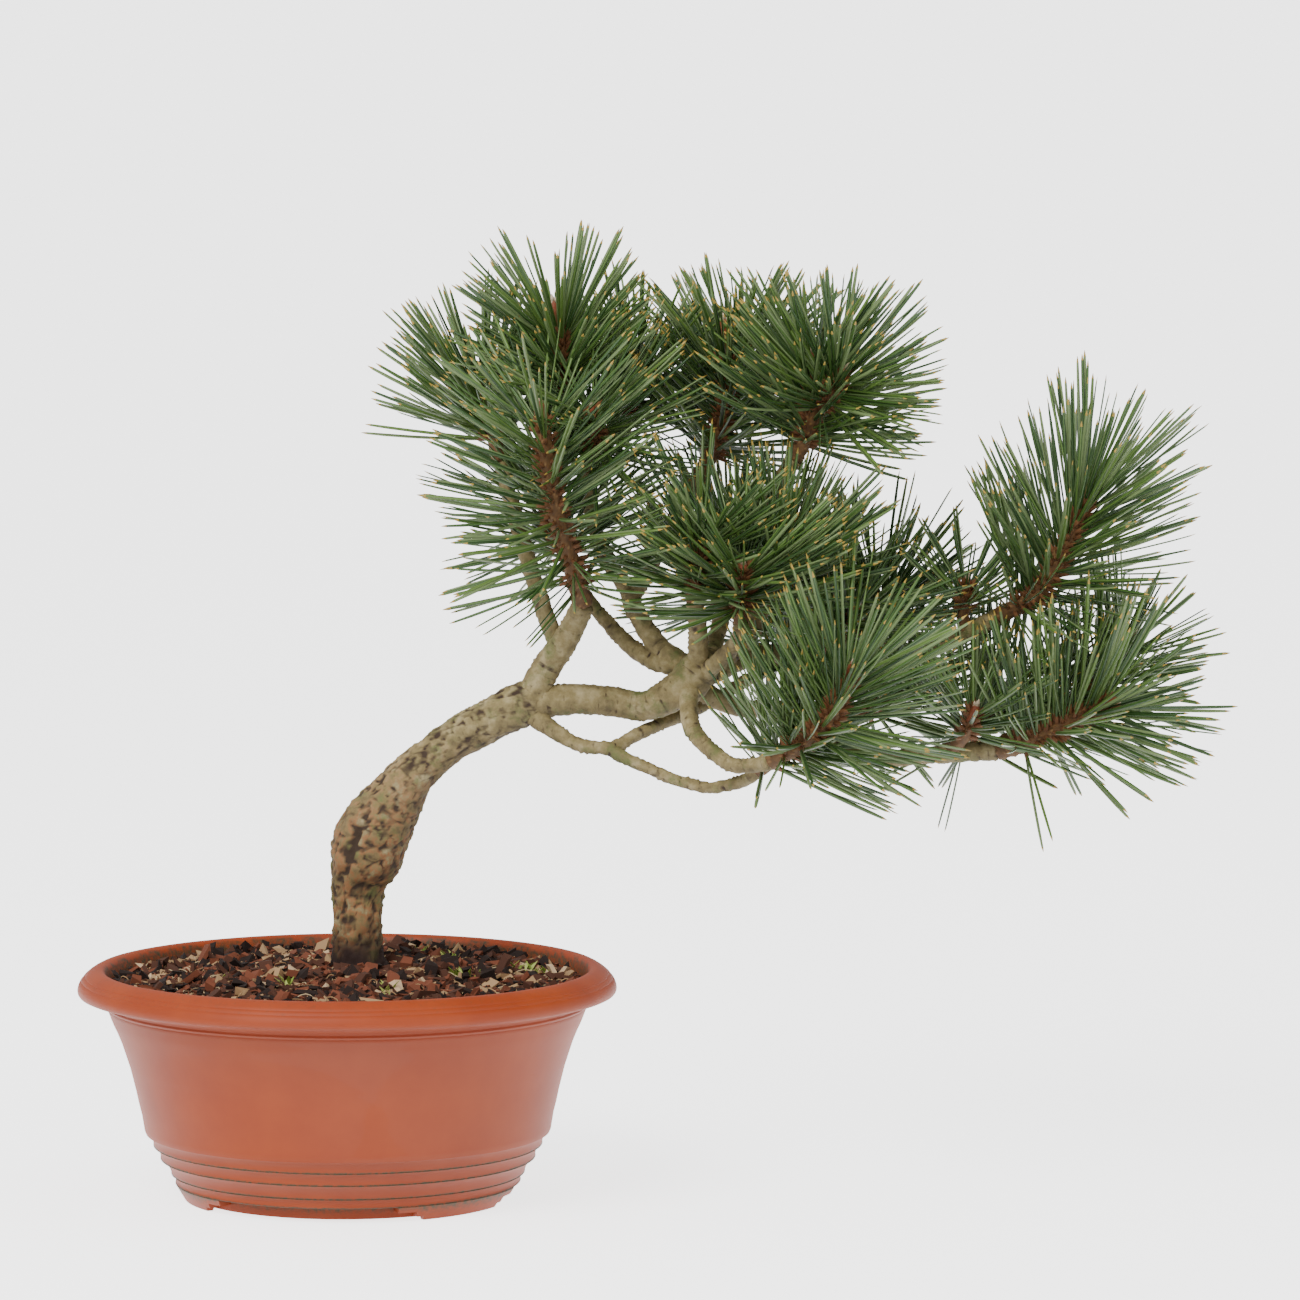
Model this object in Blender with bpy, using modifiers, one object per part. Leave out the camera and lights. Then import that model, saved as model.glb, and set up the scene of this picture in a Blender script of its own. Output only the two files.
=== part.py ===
# A potted Kotobuki Japanese black pine, grown as a leaning bonsai in a round plastic bowl.
#
# The pot, the soil, the trunk, each bough and each tuft of needles is its own solid. Sizes are in
# millimetres, measured from the middle of the pot at floor level: X runs the way the tree leans,
# Y runs to its back and Z runs up. The finished plant is then moved so that the middle of its
# whole box stands over the origin.

import math
import random

import bmesh
import bpy
import numpy as np
from mathutils import Matrix, Vector

MM = 0.001
GAP = 0.3

# Pot
RIM_RADIUS = 134.7
RIM_TOP = 115.7
CREST_RADIUS = 123.8
LIP_BOTTOM = 102.9
BODY_TOP = (119.0, 93.0)
BODY_WAIST = (107.4, 67.2)
SHOULDER = (101.3, 33.3)
BEAD_GROOVES = ((97.3, 27.0), (93.8, 20.4), (88.5, 12.8), (86.4, 7.8))
BEAD_CROWN = 0.9
FOOT_RADIUS = 82.0
FOOT_WIDTH = 3.0
BASE_RISE = 1.3
WALL = 2.6
FLOOR_TOP = 3.9
LEDGE_TOP = 10.6
POT_STEPS = 36

# Foot ring: three feet with a stepped notch between each two
NOTCH_COUNT = 3
FIRST_NOTCH = -13.0
NOTCH_STEPS = ((32.0, 7.8), (39.0, 4.6), (42.0, 2.0))

# Soil
SOIL_MOUND = 113.0
SOIL_EDGE = 107.5
MOUND_RADIUS = 38.0

# Limbs and needles
SAMPLE = 13.0
TRUNK_SIDES = 12
NEEDLE_LENGTH = 66.0
NEEDLE_RADIUS = 1.5
GOLDEN_ANGLE = math.radians(137.508)
BUD_LENGTH = 8.0

# Each limb: its name, its number of sides and its bends, root to tip, as (x, y, z, radius).
LIMBS = (
    ("trunk", TRUNK_SIDES, ((6, 12, 113.3, 16.5), (5, 11, 125, 14.0), (5, 10, 153, 14.0), (9, 8, 169, 19.4),
                            (16, 7, 187, 18.8), (26, 5, 203, 14.2), (37, 4, 216, 11.4), (53, 3, 228, 10.6),
                            (70, 1, 239, 10.8), (90, 0, 248, 11.5), (97, 0, 250, 8.5))),
    ("bough_main", 10, ((88, 0, 247, 9.0), (113, -1, 250, 7.7), (131, -3, 249, 7.5), (149, -4, 247, 7.5),
                        (166, -5, 255, 9.5), (175, -4, 264, 10.5), (180, -3, 270, 7.0))),
    ("bough_left", 8, ((90, 0, 247, 8.5), (101, -3, 268, 7.2), (110, -8, 281, 6.5), (118, -14, 298, 5.6))),
    ("branch_under", 7, ((92, -3, 243, 5.2), (108, -10, 232, 3.9), (118, -13, 228, 3.5), (134, -15, 226, 3.5))),
    ("bough_far_upper", 8, ((176, 0, 260, 5.5), (206, 20, 270, 4.8), (234, 28, 267, 4.4), (267, 28, 264, 4.3),
                            (297, 22, 275, 4.3), (325, 13, 290, 4.5))),
    ("bough_far_lower", 8, ((174, 0, 256, 5.5), (194, 8, 245, 4.6), (219, 6, 243, 4.3), (240, 0, 227, 4.0),
                            (266, -4, 221, 4.2), (296, -7, 223, 4.5), (324, -10, 225, 4.9))),
    ("branch_rise", 8, ((171, 2, 264, 6.2), (155, 9, 276, 5.4), (145, 14, 291, 4.9), (141, 17, 302, 4.7))),
    ("branch_top", 7, ((142, 17, 299, 4.4), (128, 20, 323, 3.8), (121, 18, 344, 3.4), (120, 14, 366, 3.2),
                       (115, 10, 387, 3.0))),
    ("branch_crown_middle", 7, ((142, 17, 299, 4.5), (150, 20, 313, 4.4), (160, 27, 330, 4.2), (175, 34, 357, 4.0))),
    ("branch_crown_right", 7, ((177, 2, 263, 5.0), (197, 8, 276, 4.6), (208, 8, 299, 4.4), (210, 5, 333, 4.2),
                               (212, 3, 352, 4.0), (223, 1, 369, 4.0))),
    ("branch_lower_left", 7, ((175, -5, 264, 5.4), (175, -15, 286, 4.7), (173, -22, 301, 4.2))),
    ("branch_lower_front", 7, ((176, -8, 262, 4.6), (187, -16, 272, 4.2), (195, -26, 282, 4.0), (196, -30, 291, 3.7))),
    ("branch_front_right", 7, ((171, -10, 257, 5.0), (171, -24, 241, 4.5), (179, -36, 230, 4.0),
                               (193, -50, 222, 3.8), (210, -62, 225, 3.9))),
    ("branch_far_left", 7, ((106, -5, 275, 4.6), (97, 6, 298, 4.3), (89, 20, 322, 4.0), (82, 30, 345, 3.8),
                            (76, 36, 366, 3.5))),
    ("branch_back_left", 6, ((171, 1, 265, 5.5), (149, 10, 270, 4.6), (133, 20, 283, 3.9), (120, 29, 298, 3.4),
                             (109, 40, 316, 3.1))),
    ("branch_back_middle", 7, ((176, 2, 263, 5.0), (183, 36, 272, 4.5), (188, 62, 288, 4.1))),
    ("branch_under_front", 6, ((131, -15, 226, 3.3), (151, -21, 217, 3.0), (176, -27, 209, 2.9), (196, -34, 212, 3.2),
                               (204, -37, 218, 3.5))),
    ("branch_under_back", 6, ((131, -14, 226, 3.3), (153, 0, 236, 3.2), (172, 24, 241, 3.2), (194, 46, 251, 3.1),
                              (215, 64, 262, 3.1))),
    ("branch_top_back", 6, ((120, 16, 353, 3.0), (125, 36, 369, 3.0), (134, 46, 384, 2.8))),
    ("branch_back_low", 6, ((213, 6, 243, 4.0), (234, 38, 234, 4.0), (255, 62, 235, 3.8))),
)

# Each tuft of needles: its name, how many needles it may have, their length as a share of
# NEEDLE_LENGTH, their angle off the stem in degrees at the foot and at the bud, the shares of the
# stem between which they stand, and the stem's bends, foot to bud, as (x, y, z, radius).
TUFTS = (
    ("needles_front_left", 44, 1.0, 96, 44, 0.07, 0.9,
     ((118, -14, 298, 5.5), (113, -20, 318, 5.0), (105, -28, 344, 5.0), (101, -34, 369, 4.9), (97, -40, 401, 3.4))),
    ("needles_front_right", 44, 1.05, 88, 38, 0.1, 0.9,
     ((210, -62, 225, 3.9), (227, -69, 236, 3.9), (240, -73, 249, 4.4), (251, -76, 275, 3.4))),
    ("needles_top", 34, 0.9, 74, 32, 0.25, 0.75,
     ((115, 10, 387, 3.0), (109, 8, 406, 3.0), (107, 6, 426, 3.0), (103, 4, 448, 2.5))),
    ("needles_left", 34, 0.95, 66, 30, 0.25, 0.85,
     ((76, 36, 366, 3.5), (71, 39, 384, 3.5), (65, 41, 407, 3.0))),
    ("needles_crown_right", 42, 0.95, 84, 34, 0.15, 0.8,
     ((223, 1, 369, 4.0), (230, 0, 387, 4.0), (232, -2, 424, 2.6))),
    ("needles_far_upper", 46, 1.04, 80, 26, 0.07, 0.95,
     ((325, 13, 290, 4.5), (345, 7, 303, 4.5), (358, 2, 327, 4.0), (372, -1, 357, 2.6))),
    ("needles_far_lower", 40, 0.98, 84, 36, 0.12, 0.92,
     ((324, -10, 225, 4.9), (343, -15, 231, 4.5), (367, -22, 244, 4.3), (383, -27, 252, 2.6))),
    ("needles_crown_middle", 34, 0.92, 84, 34, 0.15, 0.75,
     ((175, 34, 357, 4.0), (185, 37, 377, 4.0), (190, 35, 402, 3.5), (188, 30, 438, 2.5))),
    ("needles_lower_left", 26, 0.85, 80, 36, 0.1, 0.85,
     ((173, -22, 301, 4.2), (175, -28, 319, 4.0), (179, -34, 340, 3.0))),
    ("needles_lower_front", 26, 0.95, 80, 38, 0.15, 0.9,
     ((196, -30, 291, 3.7), (196, -38, 305, 4.0), (197, -46, 321, 3.0))),
    ("needles_low_front", 26, 1.0, 84, 46, 0.07, 0.9,
     ((204, -37, 218, 3.5), (215, -42, 225, 3.5), (231, -46, 235, 2.6))),
    ("needles_inner_left", 28, 0.95, 84, 40, 0.25, 0.9,
     ((120, 14, 364, 3.0), (124, -2, 379, 3.0), (122, -14, 397, 2.6))),
    ("needles_centre", 24, 1.0, 62, 28, 0.2, 0.9,
     ((209, 7, 300, 3.2), (213, -6, 307, 3.5), (219, -14, 322, 2.6))),
    ("needles_mid_right", 28, 1.0, 84, 38, 0.3, 0.9,
     ((236, 27, 267, 3.0), (244, 14, 279, 3.0), (255, 6, 296, 2.6))),
    ("needles_top_back", 26, 0.9, 80, 36, 0.15, 0.8,
     ((134, 46, 384, 2.8), (141, 52, 397, 3.0), (149, 56, 414, 2.6))),
    ("needles_far_side", 32, 0.88, 84, 40, 0.35, 0.92,
     ((309, -7, 224, 3.4), (329, 1, 229, 3.4), (352, 14, 241, 3.4), (377, 24, 257, 3.0), (394, 26, 281, 2.6))),
    ("needles_far_back", 26, 0.95, 84, 36, 0.3, 0.9,
     ((293, -5, 222, 3.2), (320, 30, 235, 3.0), (345, 46, 253, 2.6))),
    ("needles_mid_back", 26, 0.95, 84, 36, 0.35, 0.9,
     ((260, 28, 265, 3.0), (264, 48, 280, 3.0), (271, 62, 300, 2.6))),
    ("needles_spur", 10, 0.6, 70, 34, 0.45, 0.9,
     ((308, 19, 279, 3.0), (308, 14, 293, 3.0), (310, 12, 309, 2.6))),
    ("needles_low_spur", 12, 0.75, 80, 40, 0.45, 0.9,
     ((299, -7, 223, 3.2), (307, -17, 233, 3.0), (313, -23, 249, 2.6))),
    ("needles_back_left", 32, 0.95, 88, 40, 0.07, 0.9,
     ((109, 40, 316, 3.1), (100, 54, 338, 3.6), (93, 70, 372, 2.6))),
    ("needles_back_right", 32, 0.95, 84, 38, 0.07, 0.9,
     ((215, 64, 262, 3.1), (226, 80, 280, 3.6), (234, 92, 305, 2.6))),
    ("needles_back_middle", 32, 0.95, 84, 38, 0.07, 0.9,
     ((188, 62, 288, 4.1), (191, 82, 305, 3.6), (196, 94, 327, 2.6))),
    ("needles_back_low", 30, 0.95, 84, 42, 0.07, 0.9,
     ((255, 62, 235, 3.8), (271, 80, 241, 3.6), (283, 90, 257, 2.6))),
)

# Side twigs: the tuft that each one is fused into, then the same figures as above.
SIDE_TWIGS = (
    ("needles_crown_right", 24, 0.9, 80, 36, 0.35, 0.85,
     ((229, 0, 383, 3.2), (239, -12, 400, 3.0), (248, -22, 416, 2.6))),
    ("needles_crown_middle", 24, 0.88, 80, 34, 0.35, 0.8,
     ((184, 37, 374, 3.2), (196, 62, 398, 3.1), (202, 72, 428, 2.6))),
)

COLOURS = {
    "pot_plastic": ((0.46, 0.12, 0.055), 0.45),
    "soil": ((0.07, 0.035, 0.02), 0.95),
    "bark": ((0.25, 0.18, 0.10), 0.9),
    "needles": ((0.055, 0.12, 0.04), 0.5),
}


def clear_scene():
    for obj in list(bpy.data.objects):
        bpy.data.objects.remove(obj, do_unlink=True)


def new_collection(name):
    made = bpy.data.collections.new(name)
    bpy.context.scene.collection.children.link(made)
    return made


def material(name):
    colour, roughness = COLOURS[name]
    made = bpy.data.materials.new(name)
    made.use_nodes = True
    shader = made.node_tree.nodes["Principled BSDF"]
    shader.inputs["Base Color"].default_value = (*colour, 1)
    shader.inputs["Roughness"].default_value = roughness
    shader.inputs["Metallic"].default_value = 0
    return made


def object_from(name, bm, collection):
    """An object of this bmesh, which is in millimetres."""
    mesh = bpy.data.meshes.new(name)
    bmesh.ops.scale(bm, vec=(MM, MM, MM), verts=bm.verts)
    bmesh.ops.recalc_face_normals(bm, faces=bm.faces)
    bm.to_mesh(mesh)
    bm.free()
    obj = bpy.data.objects.new(name, mesh)
    collection.objects.link(obj)
    return obj


def loft(bm, rings):
    """Joins rings of the same number of points, each to the next, with a cap on both ends. A ring
    of one point is a tip."""
    loops = [[bm.verts.new(p) for p in ring] for ring in rings]
    for lower, upper in zip(loops, loops[1:]):
        count = len(lower)
        for i in range(count):
            j = (i + 1) % count
            if len(upper) == 1:
                bm.faces.new((lower[i], lower[j], upper[0]))
            else:
                bm.faces.new((lower[i], lower[j], upper[j], upper[i]))
    for end in (loops[0], loops[-1]):
        if len(end) > 2:
            bm.faces.new(end)


def smooth_path(bends, step):
    """Points about a step apart on a curve through the bends, as (x, y, z, radius)."""
    p = np.array(bends, float)
    p = np.vstack([2 * p[0] - p[1], p, 2 * p[-1] - p[-2]])
    points = []
    for a, b, c, d in zip(p, p[1:], p[2:], p[3:]):
        count = max(1, round(np.linalg.norm(c[:3] - b[:3]) / step))
        for t in np.arange(count) / count:
            points.append(0.5 * (2 * b + (c - a) * t + (2 * a - 5 * b + 4 * c - d) * t**2
                                 + (3 * b - a - 3 * c + d) * t**3))
    points.append(p[-2])
    return np.array(points)


def tube_rings(path, sides, grow=0.0):
    """Rings square to the path. The first ring of a limb that stands on the soil is level."""
    spots = [Vector(p[:3]) for p in path]
    rings = []
    across = Vector((0, 1, 0))
    for i, spot in enumerate(spots):
        along = (spots[min(i + 1, len(spots) - 1)] - spots[max(i - 1, 0)]).normalized()
        across = (across - along * across.dot(along)).normalized()
        other = along.cross(across)
        radius = path[i][3] + grow
        rings.append([spot + across * radius * math.cos(a) + other * radius * math.sin(a)
                      for a in (2 * math.pi * k / sides for k in range(sides))])
    return rings


def lengthened(path, extra):
    """The path with both ends moved outwards."""
    out = path.copy()
    for end, near in ((0, 1), (-1, -2)):
        away = out[end, :3] - out[near, :3]
        out[end, :3] += away / np.linalg.norm(away) * extra
    return out


def evaluated_mesh(obj):
    graph = bpy.context.evaluated_depsgraph_get()
    return bpy.data.meshes.new_from_object(obj.evaluated_get(graph))


def keep_largest(mesh):
    """Drops any scrap that a Boolean has left loose."""
    bm = bmesh.new()
    bm.from_mesh(mesh)
    left = set(bm.verts)
    groups = []
    while left:
        group = {left.pop()}
        front = list(group)
        while front:
            vert = front.pop()
            fresh = {e.other_vert(vert) for e in vert.link_edges} - group
            group |= fresh
            front += fresh
        left -= group
        groups.append(group)
    groups.sort(key=len)
    loose = [v for group in groups[:-1] for v in group]
    bmesh.ops.delete(bm, geom=loose, context="VERTS")
    bm.to_mesh(mesh)
    bm.free()


def apply_boolean(obj, others, operation, helpers):
    """One Boolean of obj with all the others, which are then removed."""
    for other in others:
        helpers.objects.link(other)
    step = obj.modifiers.new(operation.lower(), "BOOLEAN")
    step.operation = operation
    step.operand_type = "COLLECTION"
    step.collection = helpers
    step.solver = "EXACT"
    mesh = evaluated_mesh(obj)
    obj.modifiers.clear()
    for other in others:
        bpy.data.objects.remove(other, do_unlink=True)
    keep_largest(mesh)
    obj.data = mesh


def helper_tube(path, sides, grow):
    """A loose tube that is used in one Boolean and then removed."""
    bm = bmesh.new()
    loft(bm, tube_rings(path, sides, grow))
    return loose_object(bm)


def loose_object(bm):
    mesh = bpy.data.meshes.new("helper")
    bmesh.ops.scale(bm, vec=(MM, MM, MM), verts=bm.verts)
    bmesh.ops.recalc_face_normals(bm, faces=bm.faces)
    bm.to_mesh(mesh)
    bm.free()
    return bpy.data.objects.new("helper", mesh)


def segment_distance(a, b, c, d):
    """The distance from the segment a-b to each of the segments c-d, as Ericson's closest points."""
    u, v, w = b - a, d - c, a - c
    uu = float(u @ u)
    vv = np.maximum((v * v).sum(1), 1e-9)
    uv = v @ u
    uw, vw = w @ u, (v * w).sum(1)
    denominator = np.maximum(uu * vv - uv * uv, 1e-9)
    s = np.clip((uv * vw - uw * vv) / denominator, 0, 1)
    t = np.clip((uv * s + vw) / vv, 0, 1)
    s = np.clip((t * uv - uw) / uu, 0, 1)
    return np.linalg.norm((a + s[:, None] * u) - (c + t[:, None] * v), axis=1)


class Room:
    """What already stands in the crown, as round segments, each with the name of its solid."""

    def __init__(self):
        self.starts, self.ends, self.radii, self.owners = [], [], [], []

    def add(self, owner, path):
        for a, b in zip(path, path[1:]):
            self.starts.append(a[:3])
            self.ends.append(b[:3])
            self.radii.append(max(a[3], b[3]))
            self.owners.append(owner)

    def clear_of(self, owner, path, gap):
        """True where the path touches nothing but its owner."""
        other = np.array([name != owner for name in self.owners])
        starts, ends = np.array(self.starts)[other], np.array(self.ends)[other]
        radii = np.array(self.radii)[other]
        for a, b in zip(path, path[1:]):
            reach = radii + max(a[3], b[3]) + gap
            if (segment_distance(a[:3], b[:3], starts, ends) < reach).any():
                return False
        return True

    def touched_by(self, path, gap):
        """The names of the solids that the path comes near."""
        starts, ends, radii = map(np.array, (self.starts, self.ends, self.radii))
        found = []
        for a, b in zip(path, path[1:]):
            near = segment_distance(a[:3], b[:3], starts, ends) < radii + max(a[3], b[3]) + gap
            found += [name for name, hit in zip(self.owners, near) if hit]
        return sorted(set(found))


def bezier(a, b, c, count):
    """Points of a quadratic curve from a to c, without a itself."""
    points = []
    for t in (k / count for k in range(1, count + 1)):
        points.append(tuple((1 - t) ** 2 * p + 2 * t * (1 - t) * q + t * t * r for p, q, r in zip(a, b, c)))
    return points


def inner_wall(offset):
    """The inside of the pot from its wall's top to the middle of its floor, moved in by the offset.
    A ledge stands over the foot ring, so that the notches don't open into the pot."""
    inset = WALL + offset
    groove = BEAD_GROOVES[2]
    well = FOOT_RADIUS - FOOT_WIDTH - 0.6 - inset
    return [(BODY_TOP[0] - inset, BODY_TOP[1]), (BODY_WAIST[0] - inset + 1.2, BODY_WAIST[1]),
            (SHOULDER[0] - inset, SHOULDER[1] + 2), (groove[0] - inset, groove[1] + offset),
            (well, LEDGE_TOP + offset), (well, FLOOR_TOP + offset), (0, FLOOR_TOP + offset)]


def pot_profile():
    """Half a cut through the pot: from the middle of its floor up the inside, over the rim and down."""
    rim_inside = CREST_RADIUS - 3.4
    profile = inner_wall(0)[::-1]
    profile += [(rim_inside, RIM_TOP - 3.6), (rim_inside + 1.3, RIM_TOP - 0.8), (CREST_RADIUS, RIM_TOP)]
    profile += [(CREST_RADIUS + 5.0, RIM_TOP - 1.6), (RIM_RADIUS - 1.6, RIM_TOP - 6.6), (RIM_RADIUS, RIM_TOP - 10.6)]
    profile += [(RIM_RADIUS - 0.8, LIP_BOTTOM), (BODY_TOP[0] + 4.5, LIP_BOTTOM - 2.4), BODY_TOP]
    profile += bezier(BODY_TOP, BODY_WAIST, SHOULDER, 3)
    upper = SHOULDER
    for groove in BEAD_GROOVES:
        middle = ((upper[0] + groove[0]) / 2 + BEAD_CROWN, (upper[1] + groove[1]) / 2 - BEAD_CROWN / 2)
        profile += [middle, groove]
        upper = groove
    profile += [(FOOT_RADIUS, 0), (FOOT_RADIUS - FOOT_WIDTH, 0), (FOOT_RADIUS - FOOT_WIDTH - 0.4, BASE_RISE)]
    profile += [(0, BASE_RISE)]
    return profile


def turned(name, profile, collection):
    """A profile turned round Z. Its ends lie on the axis."""
    mesh = bpy.data.meshes.new(name)
    points = [(r * MM, 0, z * MM) for r, z in profile]
    mesh.from_pydata(points, [(i, i + 1) for i in range(len(points) - 1)], [])
    obj = bpy.data.objects.new(name, mesh)
    collection.objects.link(obj)
    screw = obj.modifiers.new("turn", "SCREW")
    screw.steps = POT_STEPS
    screw.render_steps = POT_STEPS
    screw.use_merge_vertices = True
    screw.merge_threshold = 0.0001
    obj.data = evaluated_mesh(obj)
    obj.modifiers.clear()
    return obj


def notch_cutter(middle):
    """A block that leaves a stepped gap between two feet, with its middle at this angle."""
    half = [(0, NOTCH_STEPS[0][1]), (NOTCH_STEPS[0][0] / 2, NOTCH_STEPS[0][1])]
    for (angle, height), (_, next_height) in zip(NOTCH_STEPS, (*NOTCH_STEPS[1:], (0, -1))):
        half += [(angle, height), (angle + 0.5, next_height)]
    sections = [(-angle, height) for angle, height in reversed(half[1:])] + half
    near, far = FOOT_RADIUS - FOOT_WIDTH - 0.9, FOOT_RADIUS + 20
    rings = []
    for angle, height in sections:
        turn = math.radians(middle + angle)
        out = Vector((math.sin(turn), -math.cos(turn), 0))
        corners = ((near, -2), (far, -2), (far, height), (near, height))
        rings.append([out * r + Vector((0, 0, z)) for r, z in corners])
    bm = bmesh.new()
    loft(bm, rings)
    return loose_object(bm)


def make_pot(collection, helpers):
    pot = turned("pot", pot_profile(), collection)
    for k in range(NOTCH_COUNT):
        apply_boolean(pot, [notch_cutter(FIRST_NOTCH + k * 360 / NOTCH_COUNT)], "DIFFERENCE", helpers)
    return pot


def make_soil(collection):
    brim = (BODY_TOP[0] + 1.6 - WALL - 0.5, SOIL_EDGE)
    top = [(0, SOIL_MOUND), (MOUND_RADIUS, SOIL_MOUND), (MOUND_RADIUS + 34, SOIL_MOUND - 2.0)]
    return turned("soil", [*top, brim, *inner_wall(0.5)], collection)


def make_limbs(collection, helpers, room):
    """Each limb is cut back, a gap clear, by the limbs that it grows from or passes."""
    made, paths = [], {}
    for name, sides, bends in LIMBS:
        path = smooth_path(bends, SAMPLE)
        rings = tube_rings(path, sides)
        if name == "trunk":
            for point in rings[0]:
                point.z = path[0][2]
        bm = bmesh.new()
        loft(bm, rings)
        limb = object_from(name, bm, collection)
        near = room.touched_by(path, GAP) if made else []
        cutters = [helper_tube(lengthened(paths[n][0], GAP), paths[n][1], GAP * 1.3) for n in near]
        if cutters:
            apply_boolean(limb, cutters, "DIFFERENCE", helpers)
        room.add(name, path)
        paths[name] = (path, sides)
        made.append(limb)
    return made, paths


def spot_on(path, share):
    """The point and direction at a share of the path's length."""
    spans = np.linalg.norm(np.diff(path[:, :3], axis=0), axis=1)
    target = share * spans.sum()
    for i, span in enumerate(spans):
        if target <= span or i == len(spans) - 1:
            t = min(1.0, target / span)
            return Vector(path[i, :3] + t * (path[i + 1, :3] - path[i, :3])), Vector(
                (path[i + 1, :3] - path[i, :3]) / span), path[i, 3] + t * (path[i + 1, 3] - path[i, 3])
        target -= span


def needle_paths(figures, path, room):
    """The needles of one stem or twig: they turn round it by the golden angle, stand widest at its
    foot and closest at the bud, and bow a little upwards. One that would touch is skipped."""
    name, count, share, wide, close, first, last, _ = figures
    rng = random.Random(f"{name} {len(path)}")
    found = []
    for i in range(count):
        s = (i + 0.5) / count
        spot, along, stem = spot_on(path, first + (last - first) * s)
        side = along.orthogonal().normalized()
        turn = Matrix.Rotation(i * GOLDEN_ANGLE + rng.uniform(-0.3, 0.3), 3, along)
        opening = math.radians(wide + (close - wide) * s + rng.uniform(-7, 7))
        way = along * math.cos(opening) + (turn @ side) * math.sin(opening)
        length = NEEDLE_LENGTH * share * rng.uniform(0.88, 1.06)
        plucked = rng.random() < 0.8
        if way.z < -0.5 and plucked:
            continue
        root = spot + way * max(0.0, stem - 2.2)
        needle = np.array([[*root, NEEDLE_RADIUS], [*(root + way * length), 0.3]])
        outside = needle.copy()
        outside[0, :3] = root + way * (stem + 1.5)
        if room.clear_of(name, outside, GAP):
            found.append(needle)
            room.add(name, outside)
    return found


def needle_object(needle, k):
    """A slim spike of three sides, turned its own way."""
    foot, tip = Vector(needle[0, :3]), Vector(needle[1, :3])
    turn = Matrix.Rotation(0.7 * k, 3, tip - foot)
    ring = [foot + turn @ (p - foot) for p in tube_rings(needle, 3)[0]]
    bm = bmesh.new()
    loft(bm, [ring, [tip]])
    return loose_object(bm)


def twig_mesh(path):
    """A stem or twig. Its last bend is the tip of its bud."""
    bud = path[-1, :3] - path[-2, :3]
    shoulder = path[-1].copy()
    shoulder[:3] -= bud / np.linalg.norm(bud) * BUD_LENGTH
    rings = tube_rings(np.vstack([path[:-1], shoulder]), 6)
    bm = bmesh.new()
    loft(bm, [*rings, [Vector(path[-1, :3])]])
    return bm


def make_tufts(collection, helpers, room, limb_paths):
    """Each tuft is one stem, with its side twigs and needles fused on."""
    families = {}
    for figures in (*TUFTS, *SIDE_TWIGS):
        path = smooth_path(figures[-1], SAMPLE)
        families.setdefault(figures[0], []).append((figures, path))
        room.add(figures[0], path)
    made = []
    standing = dict(limb_paths)
    for name, family in families.items():
        stem_path = family[0][1]
        stem = object_from(name, twig_mesh(stem_path), collection)
        near = [n for n in room.touched_by(stem_path, GAP) if n in standing]
        cutters = [helper_tube(lengthened(standing[n][0], GAP), standing[n][1], GAP * 1.3) for n in near]
        standing[name] = (stem_path, 6)
        if cutters:
            apply_boolean(stem, cutters, "DIFFERENCE", helpers)
        fused = [loose_object(twig_mesh(path)) for _, path in family[1:]]
        for figures, path in family:
            fused += [needle_object(needle, k) for k, needle in enumerate(needle_paths(figures, path, room))]
        apply_boolean(stem, fused, "UNION", helpers)
        stem.data.calc_loop_triangles()
        print(name, len(fused), "parts fused,", len(stem.data.loop_triangles), "triangles, near", near)
        made.append(stem)
    return made


def dress(objects, finish):
    for obj in objects:
        obj.data.materials.clear()
        obj.data.materials.append(finish)


def centre_over_origin(objects):
    """Moves the whole plant so that the middle of its box stands over the origin."""
    corners = np.array([v.co for obj in objects for v in obj.data.vertices])
    middle = (corners.min(0) + corners.max(0)) / 2
    for obj in objects:
        obj.location = (-middle[0], -middle[1], 0)
    print("pot's axis at", -middle[0] / MM, -middle[1] / MM)


def main():
    clear_scene()
    plant = new_collection("potted_black_pine")
    helpers = new_collection("helpers")
    helpers.hide_render = True
    room = Room()
    pot = make_pot(plant, helpers)
    soil = make_soil(plant)
    limbs, limb_paths = make_limbs(plant, helpers, room)
    tufts = make_tufts(plant, helpers, room, limb_paths)
    dress([pot], material("pot_plastic"))
    dress([soil], material("soil"))
    dress(limbs, material("bark"))
    dress(tufts, material("needles"))
    centre_over_origin([pot, soil, *limbs, *tufts])
    for obj in [pot, soil, *limbs]:
        obj.data.shade_smooth()
        obj.data.set_sharp_from_angle(angle=math.radians(40))


main()
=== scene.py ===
# A leaning black pine bonsai in a round plastic bowl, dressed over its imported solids.
# Sizes are millimetres from the middle of the pot at floor level, as in the part's source.

import math
import random

import bmesh
import bpy
import numpy as np
from mathutils import Matrix, Vector, noise


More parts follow.
